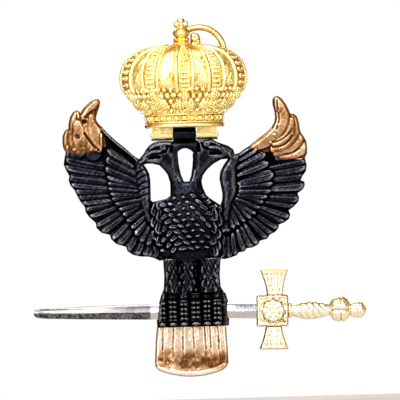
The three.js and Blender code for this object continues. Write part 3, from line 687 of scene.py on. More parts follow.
FLIGHT_RIGHT = [
    ((32.3, 56.9), (22.6, 55.2), 1.9), ((32.3, 55.3), (22.8, 53.7), 2.3),
    ((31.3, 52.9), (22.8, 52.0), 2.2), ((31.8, 50.4), (22.8, 49.8), 2.7),
    ((30.2, 46.8), (21.8, 47.4), 2.3), ((28.8, 44.9), (21.0, 46.0), 1.6),
    ((27.7, 42.2), (20.0, 45.0), 2.1), ((26.0, 40.7), (19.2, 43.9), 1.6),
    ((24.5, 39.0), (18.5, 43.0), 1.9), ((22.9, 37.6), (17.6, 41.9), 1.6),
    ((21.4, 36.4), (16.8, 41.2), 1.8), ((19.0, 34.8), (15.8, 40.2), 1.9),
    ((17.2, 34.0), (14.7, 39.3), 1.8), ((15.3, 33.1), (13.6, 38.6), 1.9),
    ((13.0, 32.1), (12.4, 37.5), 1.9), ((10.9, 31.5), (11.0, 36.5), 2.0),
    ((9.2, 31.3), (9.8, 35.8), 1.8),
]
COVERT_RIGHT = [
    ((19.2, 60.3), (13.6, 57.0), 1.5), ((21.6, 58.9), (14.0, 55.4), 1.8),
    ((22.3, 56.6), (14.2, 53.6), 2.0), ((23.5, 53.6), (14.4, 51.6), 2.6),
    ((23.3, 51.0), (14.4, 50.2), 1.5), ((22.7, 49.0), (14.3, 49.2), 1.6),
    ((21.8, 47.5), (14.1, 48.4), 1.5), ((20.7, 46.0), (13.8, 47.8), 1.5),
    ((19.7, 44.6), (13.5, 47.2), 1.5), ((18.6, 43.0), (13.1, 46.7), 1.5),
    ((17.2, 41.7), (12.7, 46.3), 1.5), ((15.6, 40.8), (12.2, 45.9), 1.5),
    ((14.0, 39.9), (11.7, 45.2), 1.5), ((12.5, 39.0), (11.2, 44.4), 1.5),
    ((11.0, 38.2), (10.5, 43.4), 1.5),
]
SHOULDER_LEFT = [(-12.2, 59.0), (-11.6, 54.5), (-11.2, 50.0), (-10.8, 46.0), (-9.8, 42.0)]
SHOULDER_RIGHT = [(13.3, 58.4), (11.7, 55.5), (11.2, 52.5), (11.5, 49.5), (10.8, 46.0), (10.2, 42.0)]


# the wing's upper edge, from the shoulder to the plumes
EDGE_LEFT = [(-12.6, 58.9), (-16.4, 62.0), (-19.6, 64.8), (-22.4, 67.9)]
EDGE_RIGHT = [(13.3, 58.8), (16.0, 60.0), (19.0, 61.8), (22.5, 64.8)]


def paint_wing(c, side, flight, covert, edge):
    """Long flight feathers, the shorter coverts lying on their roots, and the wing's upper edge."""
    for i, (tip, root, width) in enumerate(flight):
        lean = -side * (0.30 + 0.26 * math.sin(2.4 * i))
        drop = 0.22 * math.sin(1.7 * i + 1)
        c.feather([root, tip], width * 0.57, [2.0 - drop, 2.1, 1.9 + drop], 0.34, 0.24, lean, 0.26)
    for i, (tip, root, width) in enumerate(covert):
        lean = -side * (0.28 + 0.24 * math.sin(2.1 * i + 2))
        drop = 0.25 * math.sin(1.9 * i + 2)
        c.feather([root, tip], width * 0.57, [2.8 - drop, 2.9, 3.05 + drop], 0.32, 0.24, lean, 0.22)
    c.bar(edge, [0.9, 1.0, 0.9, 0.8], [2.6, 2.5, 2.2], 0.85)


def paint_wings(c):
    """Both wings; the left shoulder is grooved, and the right one is a smooth roll."""
    paint_wing(c, -1, FLIGHT_LEFT, COVERT_LEFT, EDGE_LEFT)
    c.bar(SHOULDER_LEFT, [1.3, 2.1, 1.9, 1.3, 0.9], [2.4, 2.6, 2.8, 3.0], 0.9, 0.7)
    for k in range(5):
        c.groove([(-9.6, 56.0 - 1.7 * k), (-11.4, 55.4 - 1.7 * k), (-13.0, 54.4 - 1.6 * k)], 0.2, 0.45)
    paint_wing(c, 1, FLIGHT_RIGHT, COVERT_RIGHT, EDGE_RIGHT)
    c.bar(SHOULDER_RIGHT, [1.4, 2.0, 2.3, 1.9, 1.3, 1.0], [2.6, 3.2, 3.2, 3.0, 2.8], 1.3)


def paint_plumes_left(c):
    """Three rolled gold plumes, a broad petal lying on each of the two large ones."""
    c.bar([(-31.6, 60.4), (-31.9, 62.6), (-31.9, 64.8), (-31.5, 66.9)],
          [1.0, 1.1, 0.9, 0.5], [1.9, 1.9, 1.7], 0.8)
    c.bar([(-29.0, 60.3), (-29.3, 63.5), (-29.5, 67.5), (-29.1, 70.2), (-28.6, 72.0)],
          [2.3, 2.2, 1.7, 1.5, 1.0], [1.8, 1.9, 1.8], 1.0)
    c.groove([(-28.5, 71.2), (-28.6, 69.4), (-28.6, 67.8)], 0.24, 0.55)
    c.bar([(-27.9, 60.8), (-28.0, 64.0), (-28.4, 67.8)], [1.6, 2.0, 1.5], [2.5, 2.6, 2.7], 0.75)
    c.dent((-28.5, 64.8), 0.6, 0.75)
    c.bar([(-24.6, 60.6), (-25.3, 65.0), (-25.9, 69.0), (-25.4, 71.6), (-23.2, 74.2)],
          [2.6, 2.4, 1.9, 1.8, 1.0], [1.8, 2.0, 2.0], 1.2)
    c.groove([(-26.3, 69.9), (-25.0, 70.9), (-23.4, 72.1), (-22.4, 72.9)], 0.42, 0.8)
    c.bar([(-22.8, 61.2), (-23.6, 64.6), (-24.4, 67.6), (-24.7, 70.0)],
          [1.0, 1.9, 1.7, 0.9], [2.7, 2.9, 2.8], 0.7)
    c.groove([(-26.6, 65.6), (-25.6, 64.0), (-24.4, 62.4), (-23.0, 61.1)], 0.26, 0.9)
    c.dent((-26.6, 68.8), 0.5, 1.2)
    c.groove([(-21.7, 66.6), (-22.6, 64.6), (-22.4, 62.4)], 0.22, 0.4)
    for centre, radii in (((-27.2, 61.6), (0.9, 0.5)), ((-29.4, 61.4), (0.8, 0.5)),
                          ((-25.0, 61.2), (0.5, 0.4)), ((-31.3, 62.0), (0.5, 0.8))):
        c.mound(centre, radii, 2.9, 0.45)


def paint_plumes_right(c):
    """The same on the right, where the lower feathers sweep round in curved steps."""
    sweeps = (
        ([(24.6, 57.6), (28.0, 58.0), (30.6, 59.0), (32.2, 60.8)], [0.9, 1.1, 1.2, 1.0], [1.9, 1.8, 1.7]),
        ([(24.2, 58.8), (27.8, 59.8), (30.2, 61.6), (31.3, 63.8)], [1.0, 1.2, 1.2, 0.9], [2.2, 2.0, 1.8]),
        ([(23.6, 60.0), (27.0, 61.2), (29.4, 64.4), (29.9, 67.8), (28.8, 69.2)], [1.1, 1.3, 1.4, 1.2, 0.8],
         [2.5, 2.3, 2.0]),
        ([(24.0, 61.2), (26.8, 63.0), (28.4, 65.6), (28.7, 67.8)], [0.9, 1.2, 1.2, 0.8], [2.8, 2.7, 2.6]),
        ([(17.6, 60.4), (21.0, 62.0), (24.0, 64.4), (25.8, 67.2), (26.2, 70.0), (25.6, 72.4), (24.7, 74.0)],
         [1.0, 1.9, 2.3, 2.3, 2.1, 1.7, 0.9], [2.4, 2.6, 2.6, 2.3, 2.0]),
    )
    for path, halves, levels in sweeps:
        c.bar(path, halves, levels, 0.9)
    c.groove([(24.8, 73.2), (24.9, 70.5), (25.2, 68.0), (24.6, 65.4)], 0.30, 0.45)
    c.groove([(23.6, 61.9), (25.4, 62.3), (27.4, 63.6), (28.7, 65.2)], 0.22, 0.55)
    c.groove([(23.4, 60.6), (26.0, 60.9), (28.0, 62.4), (28.9, 64.0)], 0.22, 0.6)
    c.groove([(26.2, 58.6), (28.4, 58.9), (30.4, 60.0)], 0.2, 0.45)
    for centre in ((25.3, 70.2), (25.2, 66.5), (24.0, 63.9), (22.9, 61.8), (28.8, 64.0)):
        c.mound(centre, (0.42, 0.38), 3.35, 0.4)


SIDE_WIDTH, SIDE_LENGTH = 2.3, 2.6     # the small feathers down the breast's sides


def scale_feathers(c, box, seed):
    """Rows of small overlapping feathers that point down, the upper rows lying on the lower."""
    x_low, x_high, z_low, z_high = box
    row = 0
    z = z_low
    while z < z_high:
        x = x_low + (row % 2) * SIDE_WIDTH / 2
        while x < x_high:
            sway = 0.28 * math.sin(seed + 2.3 * row + 1.7 * x)
            lean = 0.10 * x + 0.3 * math.sin(seed * 2 + 1.1 * row + 0.9 * x)
            level = torso_base(np.array([x]), np.array([z]))[0]
            tip = (x + sway + lean * 0.5, z - SIDE_LENGTH * 0.5)
            root = (x + sway - lean * 0.3, z + SIDE_LENGTH * 0.75)
            levels = [level - 0.3, level, level + 0.12 + 0.10 * math.sin(3.1 * x + 1.9 * row + seed)]
            tilt = 0.35 * math.sin(2.3 * x + 4.1 * row)
            c.feather([root, tip], SIDE_WIDTH * 0.56, levels, 0.05, 0.14, tilt, 0.45, 1)
            x += SIDE_WIDTH
        z += SIDE_LENGTH * 0.62
        row += 1


def leaf_scales(c, box, pitch, radii, base, rise, seed, lean, split, sway, fan):
    """Small leaf-shaped feathers with a split down the middle, in rows.

    Each stands rise millimetres off the base. Their angles wander by sway and open out to the sides by
    fan, in radians and radians for each millimetre.
    """
    x_low, x_high, z_low, z_high = box
    rows = int((z_high - z_low) / pitch[1])
    for row in range(rows):
        z = z_low + row * pitch[1]
        x = x_low + (row % 2) * pitch[0] / 2
        while x < x_high:
            chance = math.sin(seed + 12.9 * x + 78.2 * row)
            turn = sway * (math.sin(seed * 3 + 1.9 * x + 2.6 * row) + 0.4 * chance) - fan * x
            centre = np.array([x + 0.45 * chance, z + 0.36 * math.cos(5.1 * x + seed)])
            level = base(centre[:1], centre[1:])[0]
            size = 1 + 0.30 * chance
            lift = rise * (1 + 0.35 * math.sin(seed + 0.8 * x - 1.3 * row))
            c.mound(centre, (radii[0] * size, radii[1] * size), level - 0.35, lift + 0.35, turn, 0.6, lean)
            way = np.array([math.cos(turn), math.sin(turn)]) * radii[0] * 0.5 * size
            c.groove([centre - way, centre + way], split, split * 1.6)
            x += pitch[0]


def torso_base(x, z):
    """The plain breast: deep in the middle, as deep as the wings at its sides."""
    middle = np.interp(z, [31, 40, 47, 52], [1.0, 0.2, 0.2, 0.0])
    half = np.interp(z, [31, 36, 40, 46, 47.5, 50, 52], [7.4, 8.4, 9.2, 9.2, 7.0, 5.0, 4.4])
    depth = np.interp(z, [31, 34, 38, 42, 46, 49, 52], [5.6, 7.0, 8.0, 8.1, 7.1, 5.6, 4.7])
    u = np.clip(np.abs(x - middle) / half, 0, 1)
    return 2.3 + (depth - 2.3) * np.sqrt(1 - u ** 2.2)


def leg_base(x, z):
    """Three upright bundles of leg feathers."""
    out = np.full(len(x), 2.0)
    for centre, half, depth in ((-4.4, 2.5, 6.0), (0.0, 2.7, 5.0), (5.6, 3.2, 6.0)):
        squeeze = np.interp(z, [21.5, 25, 31.5], [0.94, 1.0, 1.06])
        u = np.clip(np.abs(x - centre * squeeze) / (half * 1.06), 0, 1)
        out = np.maximum(out, 2.0 + (depth - 2.0) * np.sqrt(1 - u ** 2))
    return out * np.interp(z, [21.9, 23.5], [0.92, 1.0])


# (middle, half width) of each toe
TOES = [(-7.15, 1.15), (-4.4, 1.35), (-1.45, 1.35), (1.75, 1.55), (4.75, 1.35), (7.35, 1.35)]
TOE_FOOT, TOE_TOP = 14.85, 20.4        # where a toe ends below, and where its cuff of feathers starts
KNUCKLE_PITCH = 1.28


def toe_height(x, z):
    """Toes side by side, each crossed by rounded knuckles, over the claws' points."""
    body = np.interp(z, [13.2, 14.2, 15.2, 17.5, 20.2, 21.2, 22.3], [5.4, 6.0, 6.3, 6.9, 6.4, 6.0, 5.3])
    sides = np.clip(np.minimum(x + 8.9, 10.7 - x) / 2.2, 0, 1)
    out = (body - 1.3) * (0.45 + 0.55 * np.sqrt(1 - (1 - sides) ** 2))
    for i, (centre, half) in enumerate(TOES):
        u = np.clip(np.abs(x - centre) / half, 0, 1)
        round_top = np.sqrt(1 - u ** 2)
        phase = 0.35 * math.sin(2.1 * i)
        knuckle = 0.5 + 0.5 * np.cos((z - 15.9 - phase) / KNUCKLE_PITCH * 2 * math.pi)
        split = 0.4 * np.exp(-((x - centre) / 0.2) ** 2)
        fade = np.clip((z - 15.0) / 0.3, 0, 1) * np.clip((20.6 + phase - z) / 0.5, 0, 1)
        cuff = np.clip((z - TOE_TOP) / 0.5, 0, 1)
        toe = body + round_top * (0.9 + (0.62 * knuckle ** 0.7 - split) * fade) - 0.85 - 0.6 * cuff
        claw_u = np.clip(np.abs(x - centre) / (half * 0.86), 0, 1)
        claw_v = np.clip(np.abs(z - 14.25) / 0.62, 0, 1)
        claw = 5.6 + 1.1 * np.sqrt(np.clip(1 - claw_u ** 2 - claw_v ** 2, 0, 1))
        out = np.where((u < 1) & (z > TOE_FOOT), np.maximum(out, toe), out)
        out = np.where(claw_u ** 2 + claw_v ** 2 < 1, np.maximum(out, claw), out)
    facet = (x > 8.35) & (x < 9.75) & (z > 16.6) & (z < 19.4)
    slope = 5.2 + (9.75 - x) * 0.9 + (z - 17.5) * 0.15
    return np.where(facet, np.maximum(out, slope), out)


def paint_eagle(x, z, reach):
    """The whole front of the eagle: every piece is cut from this one surface."""
    rounded = np.sqrt(1 - (1 - np.clip(reach / 2.1, 0, 1)) ** 2)
    side = np.abs(x)
    necks = np.clip((z - 50.2) / 1.5, 0, 1) * (side < 9.5)
    beaks = (z > 57.2) * (side >= 9.5) * (side < 12.4)
    c = Canvas(x, z, 1.5)
    c.h += np.clip(necks + beaks, 0, 1) * 2.9 * rounded
    paint_wings(c)
    paint_plumes_left(c)
    paint_plumes_right(c)
    paint_breast(c)
    paint_legs(c)
    paint_heads(c)
    camber = 0.9 * np.exp(-((side - 17) / 7.5) ** 2) * np.clip((60 - z) / 10, 0, 1)
    return c.h + camber + 0.05 * wobble(x, z, 1.1, 0.4) + 0.04 * wobble(x, z, 0.45, 1.7)


def paint_breast(c):
    """Downward feathers at the breast's sides, and leaf-shaped ones at loose angles over its middle."""
    pick = c.near((-9.6, 31.1), (9.9, 52.4), 0.0)
    c.raise_to(pick, torso_base(c.x[pick], c.z[pick]) - 0.35, np.ones(len(pick), bool))
    scale_feathers(c, (-9.3, -6.3, 33.0, 46.0), 1.0)
    scale_feathers(c, (6.8, 9.4, 33.0, 45.0), 2.0)
    leaf_scales(c, (-6.3, 6.8, 34.2, 50.0), (2.35, 1.5), (1.12, 0.55), torso_base, 0.42, 3.0, -0.22, 0.22,
                0.62, 0.05)


def paint_legs(c):
    """Ragged locks down the thighs, over the toes and claws that hold the sword."""
    pick = c.near((-9.0, 21.9), (10.6, 31.6), 0.0)
    px, pz = c.x[pick], c.z[pick]
    locks = 0.20 * wobble(px * 1.5, pz, 0.75, 5.0) + 0.22 * wobble(px * 1.3, pz * 0.8, 0.42, 7.0)
    c.raise_to(pick, leg_base(px, pz) - 0.25 + locks, np.ones(len(pick), bool))
    leaf_scales(c, (-6.0, 8.2, 23.2, 31.5), (2.1, 1.9), (0.48, 0.95), leg_base, 0.2, 5.0, -0.12, 0.05,
                0.3, 0.0)
    pick = c.near((-9.2, 13.2), (10.9, 22.3), 0.0)
    c.h[pick] = np.maximum(toe_height(c.x[pick], c.z[pick]), 1.6)


def paint_heads(c):
    """Brow, eye and beak on the rounded heads; the right head sits a little higher than the left."""
    for side, lift in ((-1, 0.0), (1, 0.7)):
        def at(*points):
            return [(side * px, pz + lift) for px, pz in points]

        c.bar(at((1.6, 50.0), (2.0, 52.0), (2.6, 53.6)), [2.2, 1.9, 1.4], [3.0, 2.8, 2.6], 1.7)
        c.bar(at((3.0, 62.0), (5.0, 62.3), (7.2, 61.9), (9.2, 60.9)),
              [0.55, 0.6, 0.55, 0.4], [4.3, 4.4, 4.0], 0.5)
        c.bar(at((6.6, 60.2), (8.4, 60.2), (10.2, 59.6), (11.8, 58.4)),
              [0.5, 0.6, 0.55, 0.4], [4.4, 4.2, 3.2], 0.6)
        c.bar(at((6.2, 57.9), (8.0, 57.7), (9.8, 57.6), (11.0, 57.7)),
              [0.45, 0.5, 0.45, 0.35], [3.6, 3.3, 2.9], 0.6)
        c.groove(at((7.0, 58.7), (8.2, 58.7), (9.4, 58.6)), 0.42, 1.1)
        c.groove(at((6.0, 60.0), (7.2, 59.5), (9.0, 59.3)), 0.16, 0.5)
        eye = at((5.9, 61.2))[0]
        c.mound(eye, (1.05, 0.85), 4.4, 0.75)
        c.dent(eye, 0.34, 0.4)
        c.groove(at((4.5, 61.5), (5.0, 60.2), (6.4, 59.8)), 0.18, 0.6)
        for k in range(3):
            c.groove(at((7.4 + 0.8 * k, 61.6 - 0.35 * k), (9.0 + 0.7 * k, 60.5 - 0.5 * k)), 0.14, 0.4)
        for k in range(2):
            c.groove(at((3.2 + 0.5 * k, 61.4 - 0.2 * k), (3.0 + 0.6 * k, 60.2)), 0.15, 0.3)
    c.mound((0, 61.6), (3.2, 1.6), 2.8, 1.6)


# (place, radius, depth) of the dents in the tail's foot, and the places of its beads
TAIL_DENTS = (
    ((-8.0, 4.6), 0.55, 0.45), ((-5.6, 6.4), 1.0, 0.3), ((3.6, 3.7), 0.9, 0.5), ((6.3, 4.2), 0.8, 0.35),
    ((8.1, 4.0), 0.5, 0.45), ((-2.2, 3.4), 1.1, 0.25), ((1.0, 3.2), 0.8, 0.3), ((7.6, 9.2), 0.4, 0.35),
    ((4.4, 6.0), 0.9, 0.25),
)
TAIL_BEADS = ((-1.7, 4.6), (1.75, 4.3), (5.15, 3.2), (-3.9, 6.2), (1.9, 1.9), (-2.0, 3.1), (-6.1, 3.9))


def paint_tail(x, z, _):
    """Faint upright feathers that fade into a pitted, beaded foot with a smooth rolled rim."""
    c = Canvas(x, z, 2.95)
    c.h -= 0.006 * x ** 2
    for i, edge in enumerate((-7.3, -4.5, -1.9, 0.9, 4.0, 5.4, 7.6)):
        foot = 7.4 + 1.1 * math.sin(3.1 * i)
        foot_x = edge * 1.02 + 0.2 * math.sin(5 * i)
        c.groove([(edge * 0.96, 13.9), (edge, 11.0), (foot_x, foot)], 0.16, 0.42)
        c.groove([(edge * 0.98, 10.5), (edge * 1.04, foot - 2.6)], 0.22, 0.16)
    for i in range(9):
        start = 13.6 - 1.2 * abs(math.sin(2.7 * i))
        c.groove([(-8.4 + 2.05 * i, start), (-8.5 + 2.1 * i, start - 2.6)], 0.13, 0.2)
    for centre, radius, depth in TAIL_DENTS:
        c.dent(centre, radius, depth)
    for centre in TAIL_BEADS:
        c.mound(centre, (0.46, 0.42), 2.6, 0.65)
    rim = [(-8.6, 2.6), (-5.0, 1.35), (0.3, 0.75), (5.0, 1.2), (9.0, 2.9)]
    c.bar(rim, [0.8, 0.8, 0.8, 0.8], [2.5, 2.5, 2.5], 0.6)
    pitted = np.clip((7.5 - z) / 3, 0, 1)
    return c.h + 0.05 * wobble(x, z, 1.6, 1.9) + 0.09 * pitted * wobble(x, z, 0.6, 2.4)


# the pieces cut from the painted front: their nodes, finish, point spacing, rim and edge roll
EAGLE_PIECES = (
    (("head_left", "head_right", "wing_left", "wing_right"), "black_finish", 0.2, 1.2, 0.8),
    (("wing_tip_left", "wing_tip_right"), "copper_gold", 0.17, 1.0, 0.9),
    (("eagle_body", "thigh_left", "belly_feathers", "thigh_right", "talon_left", "talon_right"),
     "black_finish", 0.16, 2.2, 0.8),
)


def eagle_outlines():
    """Each piece's outline: a plate's a little in front of its back, a stack of blocks' on its back."""
    heads, tips, blocks = (nodes for nodes, *_ in EAGLE_PIECES)
    found = {node: cad_outline(node, 0.4 if "head" in node else 0.3) for node in (*heads, *tips, "tail")}
    return found | {node: block_outline(node) for node in blocks}


def build_eagle():
    outlines = eagle_outlines()
    for nodes, finish, spacing, rim, roll in EAGLE_PIECES:
        for node in nodes:
            near = [outline for other, outline in outlines.items() if other != node]
            relief(node + "_relief", outlines[node], paint_eagle, "eagle", finish, node, spacing, rim, roll,
                   near)
    near = [outlines["talon_left"], outlines["talon_right"]]
    relief("tail_relief", outlines["tail"], paint_tail, "eagle", "copper_gold", "tail", 0.16, 1.2, 0.7,
           near)


# ---- crown -----------------------------------------------------------------------------------------
CROWN_X = 0.1                # the crown's middle
# [height, half width, depth] of the dome, from its foot to its top
CROWN_PROFILE = np.array([
    [67.6, 9.85, 6.1], [70.2, 10.2, 6.4], [71.3, 11.0, 6.9], [72.6, 12.1, 7.7], [74.0, 13.4, 8.5],
    [75.7, 15.0, 9.3], [77.6, 16.2, 9.9], [79.8, 16.5, 10.2], [82.0, 16.1, 10.0], [84.0, 15.1, 9.5],
    [85.8, 13.1, 8.8], [86.9, 10.7, 8.0], [87.6, 7.6, 6.9], [88.1, 4.3, 5.4], [88.3, 2.3, 4.6],
])
CROWN_LINE = spline(CROWN_PROFILE, 400)
CROWN_REACH = np.concatenate([[0], np.cumsum(np.hypot(*np.diff(CROWN_LINE[:, :2], axis=0).T))])
BAND_FOOT, BAND_TOP = 67.62, 70.22
LEAF_FOOT, LEAF_TOP = 70.0, 76.3
ARCH_FOOT, ARCH_TOP = 75.8, 88.0
# (middle, half width) of each arch and of the leaf below it, in degrees round the front
ARCH_DEGREES = {"far_left": (-70, 15.0), "left": (-33, 10.5), "centre": (1.2, 9.8), "right": (33, 10.5),
                "far_right": (70, 15.0)}
SIDE_ARCH = 50               # arches further round than this carry pearls in rings, the others stones
DOME_EDGE = 89.6             # how far round the dome an ornament may reach, in degrees
BAND_RADIUS, LEAF_RADIUS = 9.2, 13.0   # the crown's, where the band's stones and the leaves are laid out
# (height, size, rise) of the rows of pearls between the leaves
PEARL_ROWS = ((70.9, 0.55, 0.6), (72.1, 0.72, 0.85), (73.5, 0.62, 0.8), (74.9, 0.75, 0.95),
              (76.4, 0.62, 0.8))
PEARL_PITCH = 1.75


def reach_at(z):
    """Distance along the dome's side, in millimetres, of a height."""
    return float(np.interp(z, CROWN_LINE[:, 0], CROWN_REACH))


def dome_points(degrees, reach, off):
    """Points standing off the dome, by angle round its front and distance up its side."""
    def surface(angle, along):
        along = np.clip(along, 0, CROWN_REACH[-1])
        z, half, depth = (np.interp(along, CROWN_REACH, CROWN_LINE[:, i]) for i in range(3))
        return np.stack([CROWN_X + half * np.sin(angle), -depth * np.cos(angle), z], axis=-1)

    angle = np.radians(degrees)
    step = 0.06
    round_way = surface(angle + 0.01, reach) - surface(angle - 0.01, reach)
    up_way = surface(angle, reach + step) - surface(angle, reach - step)
    normal = np.cross(round_way, up_way)
    normal /= np.linalg.norm(normal, axis=-1, keepdims=True)
    return surface(angle, reach) + normal * np.asarray(off)[..., None]


def dome_piece(name, degrees, reach, height, node, inner=-0.45, patina_and_shade=0.0):
    """A closed piece lying on the dome, from grids of angle, reach and height, down to an inner height.

    Its last argument is added to its cavity; the dome passes its painted shade beside the arches that way.
    """
    rows, columns = height.shape
    count = rows * columns
    at = np.arange(count).reshape(rows, columns)
    corners = (at[:-1, :-1], at[:-1, 1:], at[1:, 1:], at[1:, :-1])
    front_faces = [tuple(f) for f in np.stack(corners, axis=-1).reshape(-1, 4).tolist()]
    faces = front_faces + [(d + count, c + count, b + count, a + count) for a, b, c, d in front_faces]
    edge = np.concatenate([at[0], at[1:, -1], at[-1, -2::-1], at[-2:0:-1, 0]]).tolist()
    for a, b in zip(edge, edge[1:] + edge[:1]):
        faces.append((b, a, a + count, b + count))
    front = dome_points(degrees, reach, height)
    behind = dome_points(degrees, reach, np.full(height.shape, inner))
    points = np.vstack([front.reshape(-1, 3), behind.reshape(-1, 3)])
    cavity = cavity_of(height.ravel(), front_faces, 7, 0.5) + np.ravel(patina_and_shade)
    cavity = np.concatenate([cavity, np.full(count, 0.5)])
    add_piece(name, points, faces, "crown", "crown_gold", node, cavity)


def strap_grid(foot, top, rows, left, right, columns):
    """Grids of distance up the dome's side and place across, between two heights, and those distances."""
    low, high = reach_at(foot), reach_at(top)
    steps = (np.linspace(low, high, rows), np.linspace(left, right, columns))
    along, across = np.meshgrid(*steps, indexing="ij")
    return along, across, low, high


def tucked(height, inset):
    """Turn a strap's surface down at its edges, where inset goes from 1 to 0."""
    return -0.30 + (height + 0.30) * inset ** 0.6


def radius_at(reach):
    return np.interp(reach, CROWN_REACH, CROWN_LINE[:, 1])


def bump_at(x, y, cx, cy, rx, ry, power=0.5):
    """A round or oval dome of height 1."""
    return np.clip(1 - ((x - cx) / rx) ** 2 - ((y - cy) / ry) ** 2, 0, 1) ** power


def gem_at(x, y, cx, cy, rx, ry):
    """A square-cut stone of height 1 with a flat top and bevelled sides."""
    far = np.maximum(np.abs(x - cx) / rx, np.abs(y - cy) / ry)
    return np.clip((1 - far) * 2.2, 0, 1)


def crown_shell():
    """The dome: shallow hollows between the arches, painted shade along the arches' sides, and small pearls
    between the leaves.
    """
    degrees, reach = np.meshgrid(np.linspace(-89.8, 89.8, 289), np.linspace(0, CROWN_REACH[-1], 172))
    z = np.interp(reach, CROWN_REACH, CROWN_LINE[:, 0])
    height = np.zeros(degrees.shape)
    patina_and_shade = np.zeros(degrees.shape)
    above_leaves = np.clip((z - 76.2) / 2, 0, 1)
    centres = [middle for middle, half in ARCH_DEGREES.values()]
    for a, b in zip(centres[:-1], centres[1:]):
        middle, half = (a + b) / 2, (b - a) / 2 * 0.62
        u = np.clip(np.abs(degrees - middle) / half, 0, 1)
        height += 0.30 * np.clip(1 - u ** 2, 0, 1) * above_leaves * np.clip((88 - z) / 3, 0, 1)
        # painted shade: each panel darkens towards the arches on either side
        patina_and_shade += 0.13 * np.clip((u - 0.25) / 0.4, 0, 1) * (u < 1) * above_leaves
    radius = np.interp(z, CROWN_LINE[:, 0], CROWN_LINE[:, 1])
    for row, (pearl_z, size, rise) in enumerate(PEARL_ROWS):
        step = PEARL_PITCH / float(np.interp(pearl_z, CROWN_LINE[:, 0], CROWN_LINE[:, 1]))
        count = int(math.radians(84) / step)
        for k in range(-count, count + 1):
            turn = math.degrees((k + 0.5 * (row % 2)) * step)
            chance = math.sin(7.3 * k + 3.1 * row)
            x_mm = np.radians(degrees - turn) * radius
            wide, tall = size * (1 + 0.2 * chance), size * (1 - 0.15 * chance)
            pearl = bump_at(x_mm, z, 0, pearl_z + 0.2 * chance, wide, tall)
            height = np.maximum(height, rise * (1 + 0.15 * chance) * pearl)
    ground = (z > 70.2) & (z < 77.2)
    pitting = 0.16 * wobble(degrees * 0.25, z, 0.34, 3.0)
    across = degrees * 0.27
    hammered = 0.05 * wobble(across, z * 0.6, 0.9, 1.0) + 0.045 * wobble(across, z * 0.8, 0.42, 2.0)
    height += np.where(ground, pitting, hammered)
    dome_piece("crown_dome", degrees, reach, height, "crown_shell", inner=-1.3, patina_and_shade=patina_and_shade)


def arch(name, centre, half):
    """A strap over the dome: two rolled borders, and stones in the channel between them."""
    along, across, low, high = strap_grid(ARCH_FOOT, ARCH_TOP, 190, -1, 1, 45)
    s = (along - low) / (high - low)
    wide = half * (0.92 + 0.12 * np.sin(math.pi * s) + 0.45 * s ** 6)
    side = np.abs(across)
    border = 0.30 + 0.42 * np.sqrt(np.clip(1 - ((side - 0.80) / 0.17) ** 2, 0, 1))
    channel = np.full(side.shape, 0.16)
    half_mm = np.radians(wide) * radius_at(along)
    x_mm = across * half_mm
    at_side = abs(centre) > SIDE_ARCH
    if at_side:
        pitch = 1.75
        local = np.mod(along - low, pitch) - pitch / 2
        gap = np.hypot(x_mm / (0.50 * half_mm), local / 0.80)
        channel = channel + 0.52 * np.clip(1 - ((gap - 0.72) / 0.34) ** 2, 0, 1) ** 0.5
        channel = np.maximum(channel, 0.16 + 0.45 * bump_at(x_mm, local, 0, 0, 0.35, 0.35))
    else:
        pitch = 1.22
        stone = np.floor((along - low) / pitch)
        local = (along - low) - (stone + 0.5) * pitch
        length = np.where(stone % 3 == 1, 0.34, 0.46)
        channel = channel + 0.36 * gem_at(x_mm, local, 0, 0, 0.50 * half_mm, length)
        channel += 0.10 * np.cos(x_mm / 0.42 * 2 * math.pi) * (side < 0.5)
    height = np.where(side < 0.62, channel, border)
    beads = 0.08 * np.cos((along - low) / 0.55 * 2 * math.pi)
    height = np.where((side > 0.70) & (side < 0.92) & at_side, height + beads, height)
    edge = np.clip((1 - side) / 0.04, 0, 1)
    ends = np.clip(np.minimum(along - low, high - along) / 0.25, 0, 1)
    height = tucked(height, np.minimum(edge, ends)) + 0.03 * wobble(across * 3, along, 1.3, centre)
    degrees = np.clip(centre + wide * across, -DOME_EDGE, DOME_EDGE)
    dome_piece("arch_%s_ornament" % name, degrees, along, height, "arch_" + name)


